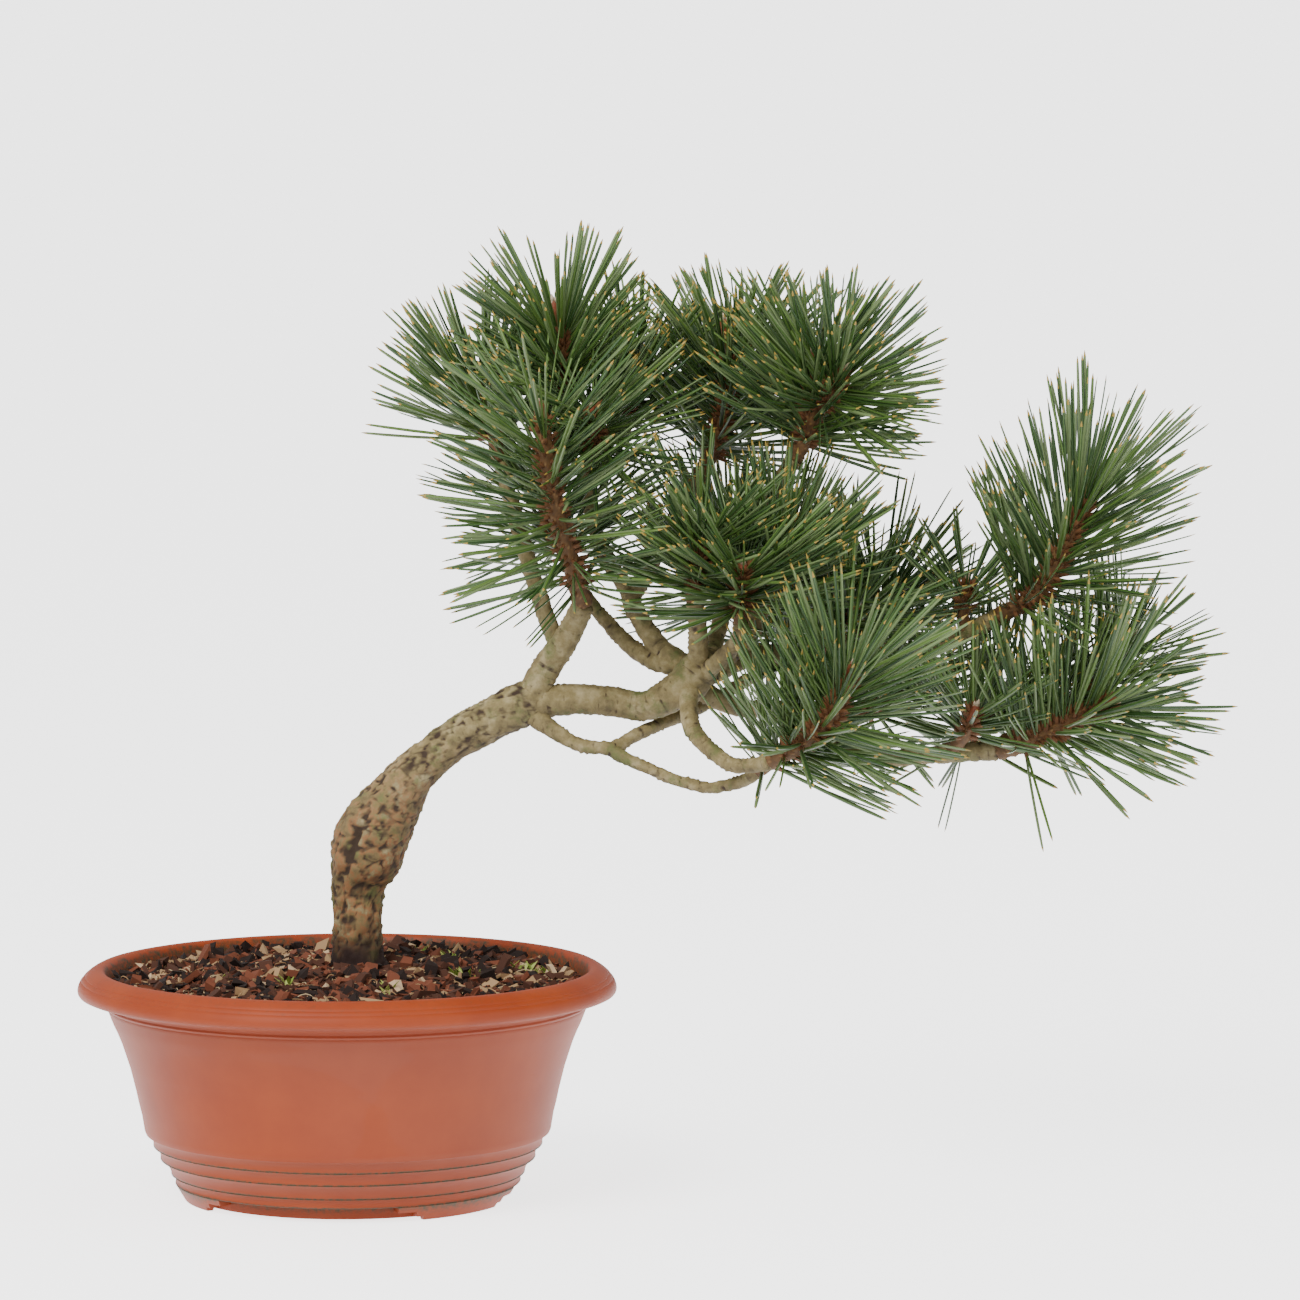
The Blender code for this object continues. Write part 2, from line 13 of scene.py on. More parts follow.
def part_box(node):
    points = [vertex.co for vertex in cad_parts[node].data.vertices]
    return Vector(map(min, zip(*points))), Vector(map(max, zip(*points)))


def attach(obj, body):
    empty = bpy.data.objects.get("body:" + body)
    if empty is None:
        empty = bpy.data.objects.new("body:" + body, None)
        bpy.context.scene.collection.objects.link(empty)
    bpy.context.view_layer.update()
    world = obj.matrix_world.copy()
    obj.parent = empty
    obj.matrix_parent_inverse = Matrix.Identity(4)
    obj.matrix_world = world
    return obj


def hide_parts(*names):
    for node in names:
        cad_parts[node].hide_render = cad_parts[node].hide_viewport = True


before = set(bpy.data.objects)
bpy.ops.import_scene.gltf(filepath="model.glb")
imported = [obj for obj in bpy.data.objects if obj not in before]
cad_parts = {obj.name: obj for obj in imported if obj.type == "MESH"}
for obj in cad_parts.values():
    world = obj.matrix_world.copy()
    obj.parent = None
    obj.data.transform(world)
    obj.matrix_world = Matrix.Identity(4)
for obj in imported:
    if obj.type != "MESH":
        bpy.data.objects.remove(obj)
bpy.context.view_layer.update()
mm = 0.001
potLow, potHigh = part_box("pot")
potAxis = Vector(((potLow.x + potHigh.x) / 2, (potLow.y + potHigh.y) / 2, 0))
goldenAngle = math.radians(137.508)
print("frame loaded, pot's axis at", tuple(potAxis))

# the tree's own figures

# each limb's bends, root to tip, as (x, y, z, radius)
limbs = {
    "trunk": ((6, 12, 111, 17.5), (5, 11, 122, 14.2), (5, 10, 153, 14.0), (9, 8, 169, 19.2),
        (16, 7, 187, 18.6), (26, 5, 203, 14.0), (37, 4, 216, 11.4), (53, 3, 228, 10.6),
        (70, 1, 239, 10.8), (90, 0, 248, 11.2), (99, -1, 250, 8.0)),
    "bough_main": ((88, 0, 247, 9.0), (113, -1, 250, 7.7), (131, -3, 249, 7.5), (149, -4, 247, 7.5),
        (166, -5, 255, 9.5), (175, -4, 264, 10.3), (180, -3, 270, 7.0)),
    "bough_left": ((90, 0, 247, 8.5), (101, -3, 268, 7.2), (110, -8, 281, 6.5), (118, -14, 298, 5.6)),
    "branch_under": ((92, -3, 243, 5.2), (108, -10, 232, 3.9), (118, -13, 228, 3.5),
        (134, -15, 226, 3.4)),
    "bough_far_upper": ((176, 0, 260, 5.5), (206, 20, 270, 4.8), (234, 28, 267, 4.4),
        (267, 28, 264, 4.3), (297, 22, 275, 4.3), (325, 13, 290, 4.4)),
    "bough_far_lower": ((174, 0, 256, 5.5), (194, 8, 245, 4.6), (219, 6, 243, 4.3), (240, 0, 227, 4.0),
        (266, -4, 221, 4.2), (296, -7, 223, 4.5), (324, -10, 225, 4.8)),
    "branch_rise": ((171, 2, 264, 6.2), (155, 9, 276, 5.4), (145, 14, 291, 4.9), (141, 17, 302, 4.7)),
    "branch_top": ((142, 17, 299, 4.4), (128, 20, 323, 3.8), (121, 18, 344, 3.4), (120, 14, 366, 3.2),
        (115, 10, 387, 3.0)),
    "branch_crown_middle": ((142, 17, 299, 4.5), (150, 20, 313, 4.4), (160, 27, 330, 4.2),
        (175, 34, 357, 4.0)),
    "branch_crown_right": ((177, 2, 263, 5.0), (197, 8, 276, 4.6), (208, 8, 299, 4.4),
        (210, 5, 333, 4.2), (212, 3, 352, 4.0), (223, 1, 369, 4.0)),
    "branch_lower_left": ((175, -5, 264, 5.4), (175, -15, 286, 4.7), (173, -22, 301, 4.2)),
    "branch_lower_front": ((176, -8, 262, 4.6), (187, -16, 272, 4.2), (195, -26, 282, 4.0),
        (196, -30, 291, 3.7)),
    "branch_front_right": ((171, -10, 257, 5.0), (171, -24, 241, 4.5), (179, -36, 230, 4.0),
        (193, -50, 222, 3.8), (210, -62, 225, 3.9)),
    "branch_far_left": ((106, -5, 275, 4.6), (97, 6, 298, 4.3), (89, 20, 322, 4.0), (82, 30, 345, 3.8),
        (76, 36, 366, 3.5)),
    "branch_back_left": ((171, 1, 265, 5.5), (149, 10, 270, 4.6), (133, 20, 283, 3.9),
        (120, 29, 298, 3.4), (109, 40, 316, 3.1)),
    "branch_back_middle": ((176, 2, 263, 5.0), (183, 36, 272, 4.5), (188, 62, 288, 4.1)),
    "branch_under_front": ((131, -15, 226, 3.3), (151, -21, 217, 3.0), (176, -27, 209, 2.9),
        (196, -34, 212, 3.2), (204, -37, 218, 3.5)),
    "branch_under_back": ((131, -14, 226, 3.3), (153, 0, 236, 3.2), (172, 24, 241, 3.2),
        (194, 46, 251, 3.1), (215, 64, 262, 3.1)),
    "branch_top_back": ((120, 16, 353, 3.0), (125, 36, 369, 3.0), (134, 46, 384, 2.8)),
    "branch_back_low": ((213, 6, 243, 4.0), (234, 38, 234, 4.0), (255, 62, 235, 3.8)),
}

# each tuft: pairs of needles, share of their full length, angle off the stem at its foot and at its
# bud, the stretch of the stem that they stand on, and the stem's bends
tufts = {
    "needles_front_left": (88, 1.0, 96, 44, 0.07, 0.9, ((118, -14, 298, 5.0), (113, -20, 318, 4.4),
        (105, -28, 344, 4.2), (101, -34, 369, 4.0), (97, -40, 401, 3.2))),
    "needles_front_right": (88, 1.05, 88, 38, 0.1, 0.9, ((210, -62, 225, 3.9), (227, -69, 236, 3.7),
        (240, -73, 249, 3.8), (251, -76, 275, 3.0))),
    "needles_top": (70, 0.9, 74, 32, 0.25, 0.75, ((115, 10, 387, 3.0), (109, 8, 406, 3.0),
        (107, 6, 426, 3.0), (103, 4, 448, 2.5))),
    "needles_left": (66, 0.95, 66, 30, 0.25, 0.85, ((76, 36, 366, 3.5), (71, 39, 384, 3.5),
        (65, 41, 407, 3.0))),
    "needles_crown_right": (84, 0.95, 84, 34, 0.15, 0.8, ((223, 1, 369, 4.0), (230, 0, 387, 3.6),
        (232, -2, 424, 2.6))),
    "needles_far_upper": (96, 1.04, 80, 26, 0.07, 0.95, ((325, 13, 290, 4.3), (345, 7, 303, 4.0),
        (358, 2, 327, 3.7), (372, -1, 357, 2.6))),
    "needles_far_lower": (82, 0.98, 84, 36, 0.12, 0.92, ((324, -10, 225, 4.8), (343, -15, 231, 4.2),
        (367, -22, 244, 3.8), (383, -27, 252, 2.6))),
    "needles_crown_middle": (68, 0.92, 84, 34, 0.15, 0.75, ((175, 34, 357, 4.0), (185, 37, 377, 3.8),
        (190, 35, 402, 3.4), (188, 30, 438, 2.5))),
    "needles_lower_left": (54, 0.85, 80, 36, 0.1, 0.85, ((173, -22, 301, 4.2), (175, -28, 319, 3.8),
        (179, -34, 340, 3.0))),
    "needles_lower_front": (54, 0.95, 80, 38, 0.15, 0.9, ((196, -30, 291, 3.7), (196, -38, 305, 3.7),
        (197, -46, 321, 3.0))),
    "needles_low_front": (52, 1.0, 84, 46, 0.07, 0.9, ((204, -37, 218, 3.5), (215, -42, 225, 3.5),
        (231, -46, 235, 2.6))),
    "needles_inner_left": (58, 0.95, 84, 40, 0.25, 0.9, ((120, 14, 364, 2.8), (124, -2, 379, 3.0),
        (122, -14, 397, 2.6))),
    "needles_centre": (50, 1.0, 62, 28, 0.2, 0.9, ((209, 7, 300, 3.0), (213, -6, 307, 3.4),
        (219, -14, 322, 2.6))),
    "needles_mid_right": (56, 1.0, 84, 38, 0.3, 0.9, ((236, 27, 267, 2.8), (244, 14, 279, 3.0),
        (255, 6, 296, 2.6))),
    "needles_top_back": (54, 0.9, 80, 36, 0.15, 0.8, ((134, 46, 384, 2.8), (141, 52, 397, 3.0),
        (149, 56, 414, 2.6))),
    "needles_far_side": (64, 0.88, 84, 40, 0.35, 0.92, ((309, -7, 224, 3.2), (329, 1, 229, 3.3),
        (352, 14, 241, 3.3), (377, 24, 257, 3.0), (394, 26, 281, 2.6))),
    "needles_far_back": (52, 0.95, 84, 36, 0.3, 0.9, ((293, -5, 222, 3.0), (320, 30, 235, 3.0),
        (345, 46, 253, 2.6))),
    "needles_mid_back": (52, 0.95, 84, 36, 0.35, 0.9, ((260, 28, 265, 2.8), (264, 48, 280, 3.0),
        (271, 62, 300, 2.6))),
    "needles_spur": (16, 0.6, 70, 34, 0.45, 0.9, ((308, 19, 279, 2.8), (308, 14, 293, 3.0),
        (310, 12, 309, 2.6))),
    "needles_low_spur": (20, 0.75, 80, 40, 0.45, 0.9, ((299, -7, 223, 3.0), (307, -17, 233, 3.0),
        (313, -23, 249, 2.6))),
    "needles_back_left": (66, 0.95, 88, 40, 0.07, 0.9, ((109, 40, 316, 3.1), (100, 54, 338, 3.5),
        (93, 70, 372, 2.6))),
    "needles_back_right": (66, 0.95, 84, 38, 0.07, 0.9, ((215, 64, 262, 3.1), (226, 80, 280, 3.5),
        (234, 92, 305, 2.6))),
    "needles_back_middle": (66, 0.95, 84, 38, 0.07, 0.9, ((188, 62, 288, 4.0), (191, 82, 305, 3.5),
        (196, 94, 327, 2.6))),
    "needles_back_low": (62, 0.95, 84, 42, 0.07, 0.9, ((255, 62, 235, 3.8), (271, 80, 241, 3.5),
        (283, 90, 257, 2.6))),
}
# twigs beside two of them, with the same figures
sideTwigs = (
    ("needles_crown_right", (50, 0.9, 80, 36, 0.35, 0.85, ((229, 0, 383, 3.2), (239, -12, 400, 3.0),
        (248, -22, 416, 2.6)))),
    ("needles_crown_middle", (50, 0.88, 80, 34, 0.35, 0.8, ((184, 37, 374, 3.2), (196, 62, 398, 3.1),
        (202, 72, 428, 2.6)))),
)


# materials

# sockets of a Mix node that mixes colours, which come after those for numbers and vectors
mixFirst, mixSecond, mixResult = 6, 7, 2


def hexColour(code):
    # sRGB hex to the linear values that Blender reads
    channels = [int(code[i:i + 2], 16) / 255 for i in (1, 3, 5)]
    return tuple(c / 12.92 if c <= 0.04045 else ((c + 0.055) / 1.055) ** 2.4 for c in channels) + (1.0,)


def addNode(tree, kind, settings=None, links=None):
    # a setting is a property, an input, or the stops of a colour ramp
    node = tree.nodes.new("ShaderNode" + kind)
    for name, value in (settings or {}).items():
        if name == "stops":
            elements = node.color_ramp.elements
            while len(elements) < len(value):
                elements.new(0.5)
            for element, (place, code) in zip(elements, value):
                element.position = place
                element.color = hexColour(code)
        elif isinstance(name, str) and hasattr(node, name):
            setattr(node, name, value)
        else:
            node.inputs[name].default_value = hexColour(value) if isinstance(value, str) else value
    for name, source in (links or {}).items():
        tree.links.new(source, node.inputs[name])
    return node


def newMaterial(name, roughness, colour, ior=1.45):
    made = bpy.data.materials.new(name)
    made.use_nodes = True
    shader = made.node_tree.nodes["Principled BSDF"]
    shader.inputs["Base Color"].default_value = hexColour(colour)
    shader.inputs["Roughness"].default_value = roughness
    shader.inputs["IOR"].default_value = ior
    return made, made.node_tree, shader


def plainFinish(name, colour, roughness):
    return newMaterial(name, roughness, colour)[0]


# settings for nodes: a noise's blotches in millimetres, as object coordinates are metres, and a range
def grain(size, detail, roughness):
    return {"Scale": 1000.0 / size, "Detail": detail, "Roughness": roughness}


def span(least, full):
    return {"From Min": least, "From Max": full}


# patch, speckle and scuff are (millimetres, detail, roughness), as are all the noises below
potFinish = {"tones": ((0.3, "#9a3a10"), (0.7, "#aa4617")), "patch": (45, 4, 0.6), "dirt": "#4a4029",
             "speckle": (2.2, 5, 0.7), "shadeAndDirtRange": (0.22, 0.5), "scuff": (1.2, 3, 0.6), "scuffDepth": 0.2,
             "scuffStrength": 0.08}


def mouldedPotPlastic():
    # injection-moulded polypropylene: even terracotta orange with a soft satin gleam, faint scuffs, and a
    # speckled grey-brown: painted shade in its grooves and inside its rim, and dirt on top of the rim
    # and faintly all over
    made, tree, shader = newMaterial("moulded_polypropylene_terracotta", 0.55, "#a24014", 1.4)
    where = addNode(tree, "TexCoord").outputs["Object"]
    patches, speckle, scuffs = (
        addNode(tree, "TexNoise", grain(*potFinish[name]), {"Vector": where}).outputs["Fac"]
        for name in ("patch", "speckle", "scuff"))
    base = addNode(tree, "ValToRGB", {"stops": potFinish["tones"]}, {"Fac": patches}).outputs["Color"]
    # painted shade in the grooves and inside the rim, with dirt on the rim's top, broken up by the speckle
    dirt = addNode(tree, "Attribute", {"attribute_name": "dirt"}).outputs["Fac"]
    speckledShadeAndDirt = addNode(tree, "Math", {"operation": "MULTIPLY"}, {0: dirt, 1: speckle}).outputs[0]
    share = addNode(tree, "MapRange", span(*potFinish["shadeAndDirtRange"]), {"Value": speckledShadeAndDirt}).outputs[0]
    tone = addNode(tree, "Mix", {"data_type": "RGBA", mixSecond: potFinish["dirt"]},
                   {"Factor": share, mixFirst: base}).outputs[mixResult]
    tree.links.new(tone, shader.inputs["Base Color"])
    depth = {"Strength": potFinish["scuffStrength"], "Distance": potFinish["scuffDepth"] * mm}
    bump = addNode(tree, "Bump", depth, {"Height": scuffs})
    tree.links.new(bump.outputs["Normal"], shader.inputs["Normal"])
    return made


# the crack colour paints shade into the bark's cracks and hollows
barkFinish = {"young": ((0.32, "#6a5c3c"), (0.5, "#978659"), (0.68, "#bcab80")),
              "old": ((0.3, "#5a4a33"), (0.46, "#857047"), (0.55, "#9b6a42"), (0.62, "#8f7d55"),
                      (0.75, "#b3a27a")),
              "blotch": (9, 6, 0.65), "moss": "#6f7340", "mossPatch": (16, 5, 0.7),
              "mossRange": (0.52, 0.66), "crackShade": "#3a2a1c", "crackShadeRange": (0.42, 0.12),
              "damp": "#2a1812", "fibre": (1.1, 6, 0.75), "fibreDepth": 0.5, "fibreStrength": 0.5}


def pineBark():
    # flaky old bark: matt olive and beige plates, orange scales low on the trunk, painted shade dark in
    # the cracks between them and in hollows, patches of dull moss, and a foot dark with damp
    made, tree, shader = newMaterial("pine_bark", 0.86, "#8a7a55")
    where = addNode(tree, "TexCoord").outputs["Object"]
    age, relief, wet = (addNode(tree, "Attribute", {"attribute_name": name}).outputs["Fac"]
                        for name in ("age", "relief", "wet"))
    blotch, mossNoise, fibres = (
        addNode(tree, "TexNoise", grain(*barkFinish[name]), {"Vector": where}).outputs["Fac"]
        for name in ("blotch", "mossPatch", "fibre"))
    young, old = (addNode(tree, "ValToRGB", {"stops": barkFinish[name]}, {"Fac": blotch}).outputs["Color"]
                  for name in ("young", "old"))
    mossShare = addNode(tree, "MapRange", span(*barkFinish["mossRange"]), {"Value": mossNoise}).outputs[0]
    # painted shade: the crack colour darkens the bark where the relief shade is low, in cracks and hollows
    crackShadeShare = addNode(tree, "MapRange", span(*barkFinish["crackShadeRange"]), {"Value": relief}).outputs[0]
    tone = addNode(tree, "Mix", {"data_type": "RGBA"},
                   {"Factor": age, mixFirst: young, mixSecond: old}).outputs[mixResult]
    for share, colour in ((mossShare, "moss"), (crackShadeShare, "crackShade"), (wet, "damp")):
        tone = addNode(tree, "Mix", {"data_type": "RGBA", mixSecond: barkFinish[colour]},
                       {"Factor": share, mixFirst: tone}).outputs[mixResult]
    tree.links.new(tone, shader.inputs["Base Color"])
    depth = {"Strength": barkFinish["fibreStrength"], "Distance": barkFinish["fibreDepth"] * mm}
    bump = addNode(tree, "Bump", depth, {"Height": fibres})
    tree.links.new(bump.outputs["Normal"], shader.inputs["Normal"])
    return made


# the tones paint shade: dark between the leaf cushions, pale on them
shootFinish = {"tones": ((0.2, "#42291a"), (0.5, "#704b2a"), (0.85, "#b08c5c")), "patch": (3, 4, 0.6),
               "patchColour": "#7c5a30"}


def shootBark():
    # last year's shoots: matt red-brown, with painted shade from the relief, dark between the cushions
    # that needles stood on and paler on them
    made, tree, shader = newMaterial("young_shoot_bark", 0.8, "#6d4526")
    where = addNode(tree, "TexCoord").outputs["Object"]
    relief = addNode(tree, "Attribute", {"attribute_name": "relief"}).outputs["Fac"]
    # painted shade from the relief: dark in the hollows, pale on the cushions
    tone = addNode(tree, "ValToRGB", {"stops": shootFinish["tones"]}, {"Fac": relief}).outputs["Color"]
    patches = addNode(tree, "TexNoise", grain(*shootFinish["patch"]), {"Vector": where}).outputs["Fac"]
    mixed = addNode(tree, "Mix", {"data_type": "RGBA", mixSecond: shootFinish["patchColour"]},
                    {"Factor": patches, mixFirst: tone}).outputs[mixResult]
    tree.links.new(mixed, shader.inputs["Base Color"])
    return made


finesFinish = {"tones": ((0.35, "#1d120c"), (0.55, "#38231a"), (0.7, "#5a3824")), "fleck": (4, 6, 0.7)}


def pottingFines():
    # wet crumbs of composted bark: nearly black, quite matt, with red-brown flecks
    made, tree, shader = newMaterial("damp_potting_bark_fines", 0.95, "#2b1b12")
    where = addNode(tree, "TexCoord").outputs["Object"]
    flecks = addNode(tree, "TexNoise", grain(*finesFinish["fleck"]), {"Vector": where}).outputs["Fac"]
    tone = addNode(tree, "ValToRGB", {"stops": finesFinish["tones"]}, {"Fac": flecks}).outputs["Color"]
    tree.links.new(tone, shader.inputs["Base Color"])
    return made


# a needle's waxy skin gleams softly along its length
needleFinishes = [
    plainFinish("pine_needle_deep_green", "#2f4c22", 0.4),  # older needles, dark and a little glossy
    plainFinish("pine_needle_mid_green", "#44632a", 0.4),  # a plain mid green, the most usual
    plainFinish("pine_needle_light_green", "#607d38", 0.4),  # young or well lit, a light streak
    plainFinish("pine_needle_inner_band", "#7f9560", 0.45),  # the flat inner face, greyed by its pores
    plainFinish("pine_needle_pale_foot", "#8d9150", 0.5),  # yellowish where it leaves its sheath
    plainFinish("pine_needle_yellow_tip", "#b99b45", 0.5),  # the dry hard point
]
deepGreen, midGreen, lightGreen, innerBand, paleFoot, yellowTip = range(len(needleFinishes))


# shared shapes

def clamp(value, low=0.0, high=1.0):
    return min(high, max(low, value))


def softNoise(spot):
    # three octaves, each half as large and half as strong as the last
    return noise.fractal(spot, 1.0, 2.0, 3)


def smoothPath(bends, step):
    # a curve through the bends, with a point about every step, that carries the radius along
    p = np.array(bends, float)
    p = np.vstack([2 * p[0] - p[1], p, 2 * p[-1] - p[-2]])
    points = []
    for a, b, c, d in zip(p, p[1:], p[2:], p[3:]):
        count = max(2, round(np.linalg.norm(c[:3] - b[:3]) / step))
        for t in np.arange(count) / count:
            points.append(0.5 * (2 * b + (c - a) * t + (2 * a - 5 * b + 4 * c - d) * t**2
                                 + (3 * b - a - 3 * c + d) * t**3))
    points.append(p[-2])
    return np.array(points)


def runsAlong(path):
    # the way covered from the first point to each
    return np.concatenate([[0], np.cumsum(np.linalg.norm(np.diff(path[:, :3], axis=0), axis=1))])


def framesAlong(path):
    # a tangent and two steady directions square to it at each point
    spots = path[:, :3]
    along = np.gradient(spots, axis=0)
    along /= np.linalg.norm(along, axis=1)[:, None]
    across = np.zeros_like(along)
    last = np.array([0.0, 1.0, 0.0])
    for i, a in enumerate(along):
        last = last - a * (last @ a)
        last /= np.linalg.norm(last)
        across[i] = last
    return along, across, np.cross(along, across)


def meshObject(name, verts, faces, finishes, faceFinish=None, attributes=None, smooth=True):
    # verts are millimetres from the pot's axis
    mesh = bpy.data.meshes.new(name)
    placed = np.asarray(verts, float) * mm + np.array(potAxis)
    mesh.from_pydata(placed.tolist(), [], [list(map(int, f)) for f in faces])
    for finish in finishes:
        mesh.materials.append(finish)
    if faceFinish is not None:
        mesh.polygons.foreach_set("material_index", np.asarray(faceFinish, np.int32))
    for key, values in (attributes or {}).items():
        held = mesh.attributes.new(key, "FLOAT", "POINT")
        held.data.foreach_set("value", np.asarray(values, np.float32))
    mesh.update()
    if smooth:
        mesh.shade_smooth()
    obj = bpy.data.objects.new(name, mesh)
    bpy.context.scene.collection.objects.link(obj)
    return obj


def faceOutwards(obj, merge=False):
    bm = bmesh.new()
    bm.from_mesh(obj.data)
    if merge:
        bmesh.ops.remove_doubles(bm, verts=bm.verts, dist=mm / 1000)
    bmesh.ops.recalc_face_normals(bm, faces=bm.faces)
    bm.to_mesh(obj.data)
    bm.free()


class Pile:
    # gathers shapes into one mesh
    def __init__(self):
        self.verts, self.faces, self.finish, self.extra, self.count = [], [], [], {}, 0

    def add(self, verts, faces, finish=0, **extra):
        self.verts.append(verts)
        self.faces += [[i + self.count for i in f] for f in faces]
        self.finish += [finish] * len(faces)
        for key, values in extra.items():
            self.extra.setdefault(key, []).append(values)
        self.count += len(verts)

    def build(self, name, finishes, smooth=True):
        extra = {key: np.concatenate(values) for key, values in self.extra.items()}
        return meshObject(name, np.vstack(self.verts), self.faces, finishes, self.finish, extra, smooth)


def tubeFaces(rings, sides):
    # the walls between rings of points, and a face over each end
    faces = []
    for r in range(rings - 1):
        for s in range(sides):
            t = (s + 1) % sides
            faces.append((r * sides + s, r * sides + t, (r + 1) * sides + t, (r + 1) * sides + s))
    faces.append(tuple(range(sides))[::-1])
    faces.append(tuple((rings - 1) * sides + s for s in range(sides)))
    return faces


# bark: each surface gives a height in millimetres, a painted shade that follows that relief, and its age
# from 0 to 1

barkFigures = {"ringStep": 1.5, "facet": 1.15, "fewestSides": 10, "mostSides": 64, "trunkSides": 96,
               "core": 0.98, "fullRelief": 3, "shootEnd": (0.95, 0.85, 0.68, 0.45, 0.12)}
trunkBark = {"swelling": 22, "swellingHeight": 1.4, "plate": 6.0, "squash": 0.62, "warp": 3.4,
             "warpShare": 7, "warpSeed": 1795655141, "crackSharpness": 2.4, "crackDepth": 1.0,
             "smoothTop": 230, "smoothOver": 60, "smoothLeast": 0.35, "paintedShades": (0.25, 0.5, 0.35, 0.8),
             "flake": 4.5, "flakeNoise": (0.9, 2.2, 5, 0.9, 1.8), "flakeHeight": 0.95, "youngTop": 236,
             "youngOver": 50, "dampTop": 140, "dampRagged": 10, "dampPatch": 9, "dampOver": 18}
wound = {"middle": Vector((4.0, -10.0, 180.0)), "lean": 0.35, "width": 2.6, "height": 11, "depth": 3.2,
         "behind": 6}
boughBark = {"wrinkle": 1.5, "wrinkleTurn": 0.7, "wrinkleHeight": 0.5, "ridge": 3.0, "ridgeHeight": 0.5,
             "scarSpacing": 5.5, "scarTwist": 0.9, "scarRows": 3, "scarsRound": 2.0, "scarEdge": 0.45,
             "scarSteep": 1.8, "scarHeight": 0.8, "paintedShades": (0.55, 0.55, 0.3, 0.2)}
shootRelief = {"cushionSpacing": 2.9, "cushionHeight": 0.95, "cushionRows": (3, 5), "grit": 1.3,
               "gritHeight": 0.3, "paintedShades": (0.2, 0.7, 0.2)}


def trunkSurface(spot):
    figures = trunkBark
    swelling = softNoise(spot / figures["swelling"])
    warp = noise.noise_vector(spot / figures["plate"]) * figures["warp"]
    squashed = Vector((spot.x, spot.y, spot.z * figures["squash"]))
    nearest, second = noise.voronoi(squashed / figures["plate"] + warp / figures["warpShare"])[0][:2]
    plate = min(1.0, (second - nearest) * figures["crackSharpness"])
    flakes = noise.ridged_multi_fractal(spot / figures["flake"], *figures["flakeNoise"]) - 1.0
    fade = clamp((figures["smoothTop"] - spot.z) / figures["smoothOver"], figures["smoothLeast"])
    away = spot - wound["middle"]
    sideways = (away.x - away.z * wound["lean"]) / wound["width"]
    split = math.exp(-sideways ** 2 - (away.z / wound["height"]) ** 2) * (away.y < wound["behind"])
    height = swelling * figures["swellingHeight"] + (plate - 1) * figures["crackDepth"] * fade
    height += flakes * figures["flakeHeight"]
    height -= wound["depth"] * split
    # painted shade: dark in the cracks between plates and in the wound, light on the plates and flakes
    rest, ofPlate, ofFlakes, ofSplit = figures["paintedShades"]
    shade = rest + ofPlate * plate + ofFlakes * flakes - ofSplit * split
    return height, shade, clamp((figures["youngTop"] - spot.z) / figures["youngOver"])


def boughSurface(spot, run, angle, middle):
    figures = boughBark
    sideways, onwards = math.cos(angle) * figures["wrinkleTurn"], math.sin(angle) * figures["wrinkleTurn"]
    wrinkle = noise.noise(Vector((run / figures["wrinkle"], sideways, onwards + middle)))
    ridge = softNoise(spot / figures["ridge"])
    turn = run / figures["scarSpacing"] + angle / math.tau * figures["scarRows"]
    wave = math.cos(math.tau * turn) * math.cos(figures["scarsRound"] * angle + run * figures["scarTwist"])
    scar = max(0.0, wave - figures["scarEdge"]) * figures["scarSteep"]
    height = wrinkle * figures["wrinkleHeight"] + ridge * figures["ridgeHeight"]
    height += scar * figures["scarHeight"]
    # painted shade: light on the wrinkles, ridges and leaf scars, darker between them
    rest, ofWrinkle, ofRidge, ofScar = figures["paintedShades"]
    return height, rest + wrinkle * ofWrinkle + ridge * ofRidge + scar * ofScar, 0.0


def shootSurface(spot, run, angle):
    turn = run / shootRelief["cushionSpacing"]
    first, second = shootRelief["cushionRows"]
    wave = math.cos(math.tau * turn + first * angle) * math.cos(second * angle - math.pi * turn)
    cushion = max(0.0, wave)
    grit = noise.noise(spot / shootRelief["grit"])
    height = cushion * shootRelief["cushionHeight"] + grit * shootRelief["gritHeight"]
    # painted shade: pale on the cushions, dark between them
    rest, ofCushion, ofGrit = shootRelief["paintedShades"]
    return height, rest + cushion * ofCushion + grit * ofGrit, 0.0


def dampness(spot):
    ragged = trunkBark["dampTop"] + trunkBark["dampRagged"] * noise.noise(spot / trunkBark["dampPatch"])
    return clamp((ragged - spot.z) / trunkBark["dampOver"])


def barkTube(pile, bends, kind, mostSides=barkFigures["mostSides"]):
    path = smoothPath(bends, barkFigures["ringStep"])
    if kind == "shoot":
        path[-5:, 3] *= barkFigures["shootEnd"]
    _, across, other = framesAlong(path)
    girth = math.tau * path[:, 3].mean()
    sides = int(min(mostSides, max(barkFigures["fewestSides"], girth / barkFigures["facet"])))
    runs = runsAlong(path)
    verts, ages, paintedShades, damp = [], [], [], []
    for i, point in enumerate(path):
        for a in math.tau * np.arange(sides) / sides:
            out = across[i] * math.cos(a) + other[i] * math.sin(a)
            spot = Vector(point[:3] + out * point[3])
            if kind == "trunk":
                height, shade, age = trunkSurface(spot)
            elif kind == "bough":
                height, shade, age = boughSurface(spot, runs[i], a, point[0])
            else:
                height, shade, age = shootSurface(spot, runs[i], a)
            relief = height * min(1.0, point[3] / barkFigures["fullRelief"])
            verts.append(point[:3] + out * (point[3] * barkFigures["core"] + relief))
            ages.append(age)
            paintedShades.append(clamp(shade))
            damp.append(dampness(spot) if kind == "trunk" else 0)
    # the relief attribute carries the painted shade to the bark's colours
    pile.add(np.array(verts), tubeFaces(len(path), sides), age=ages, relief=paintedShades, wet=damp)


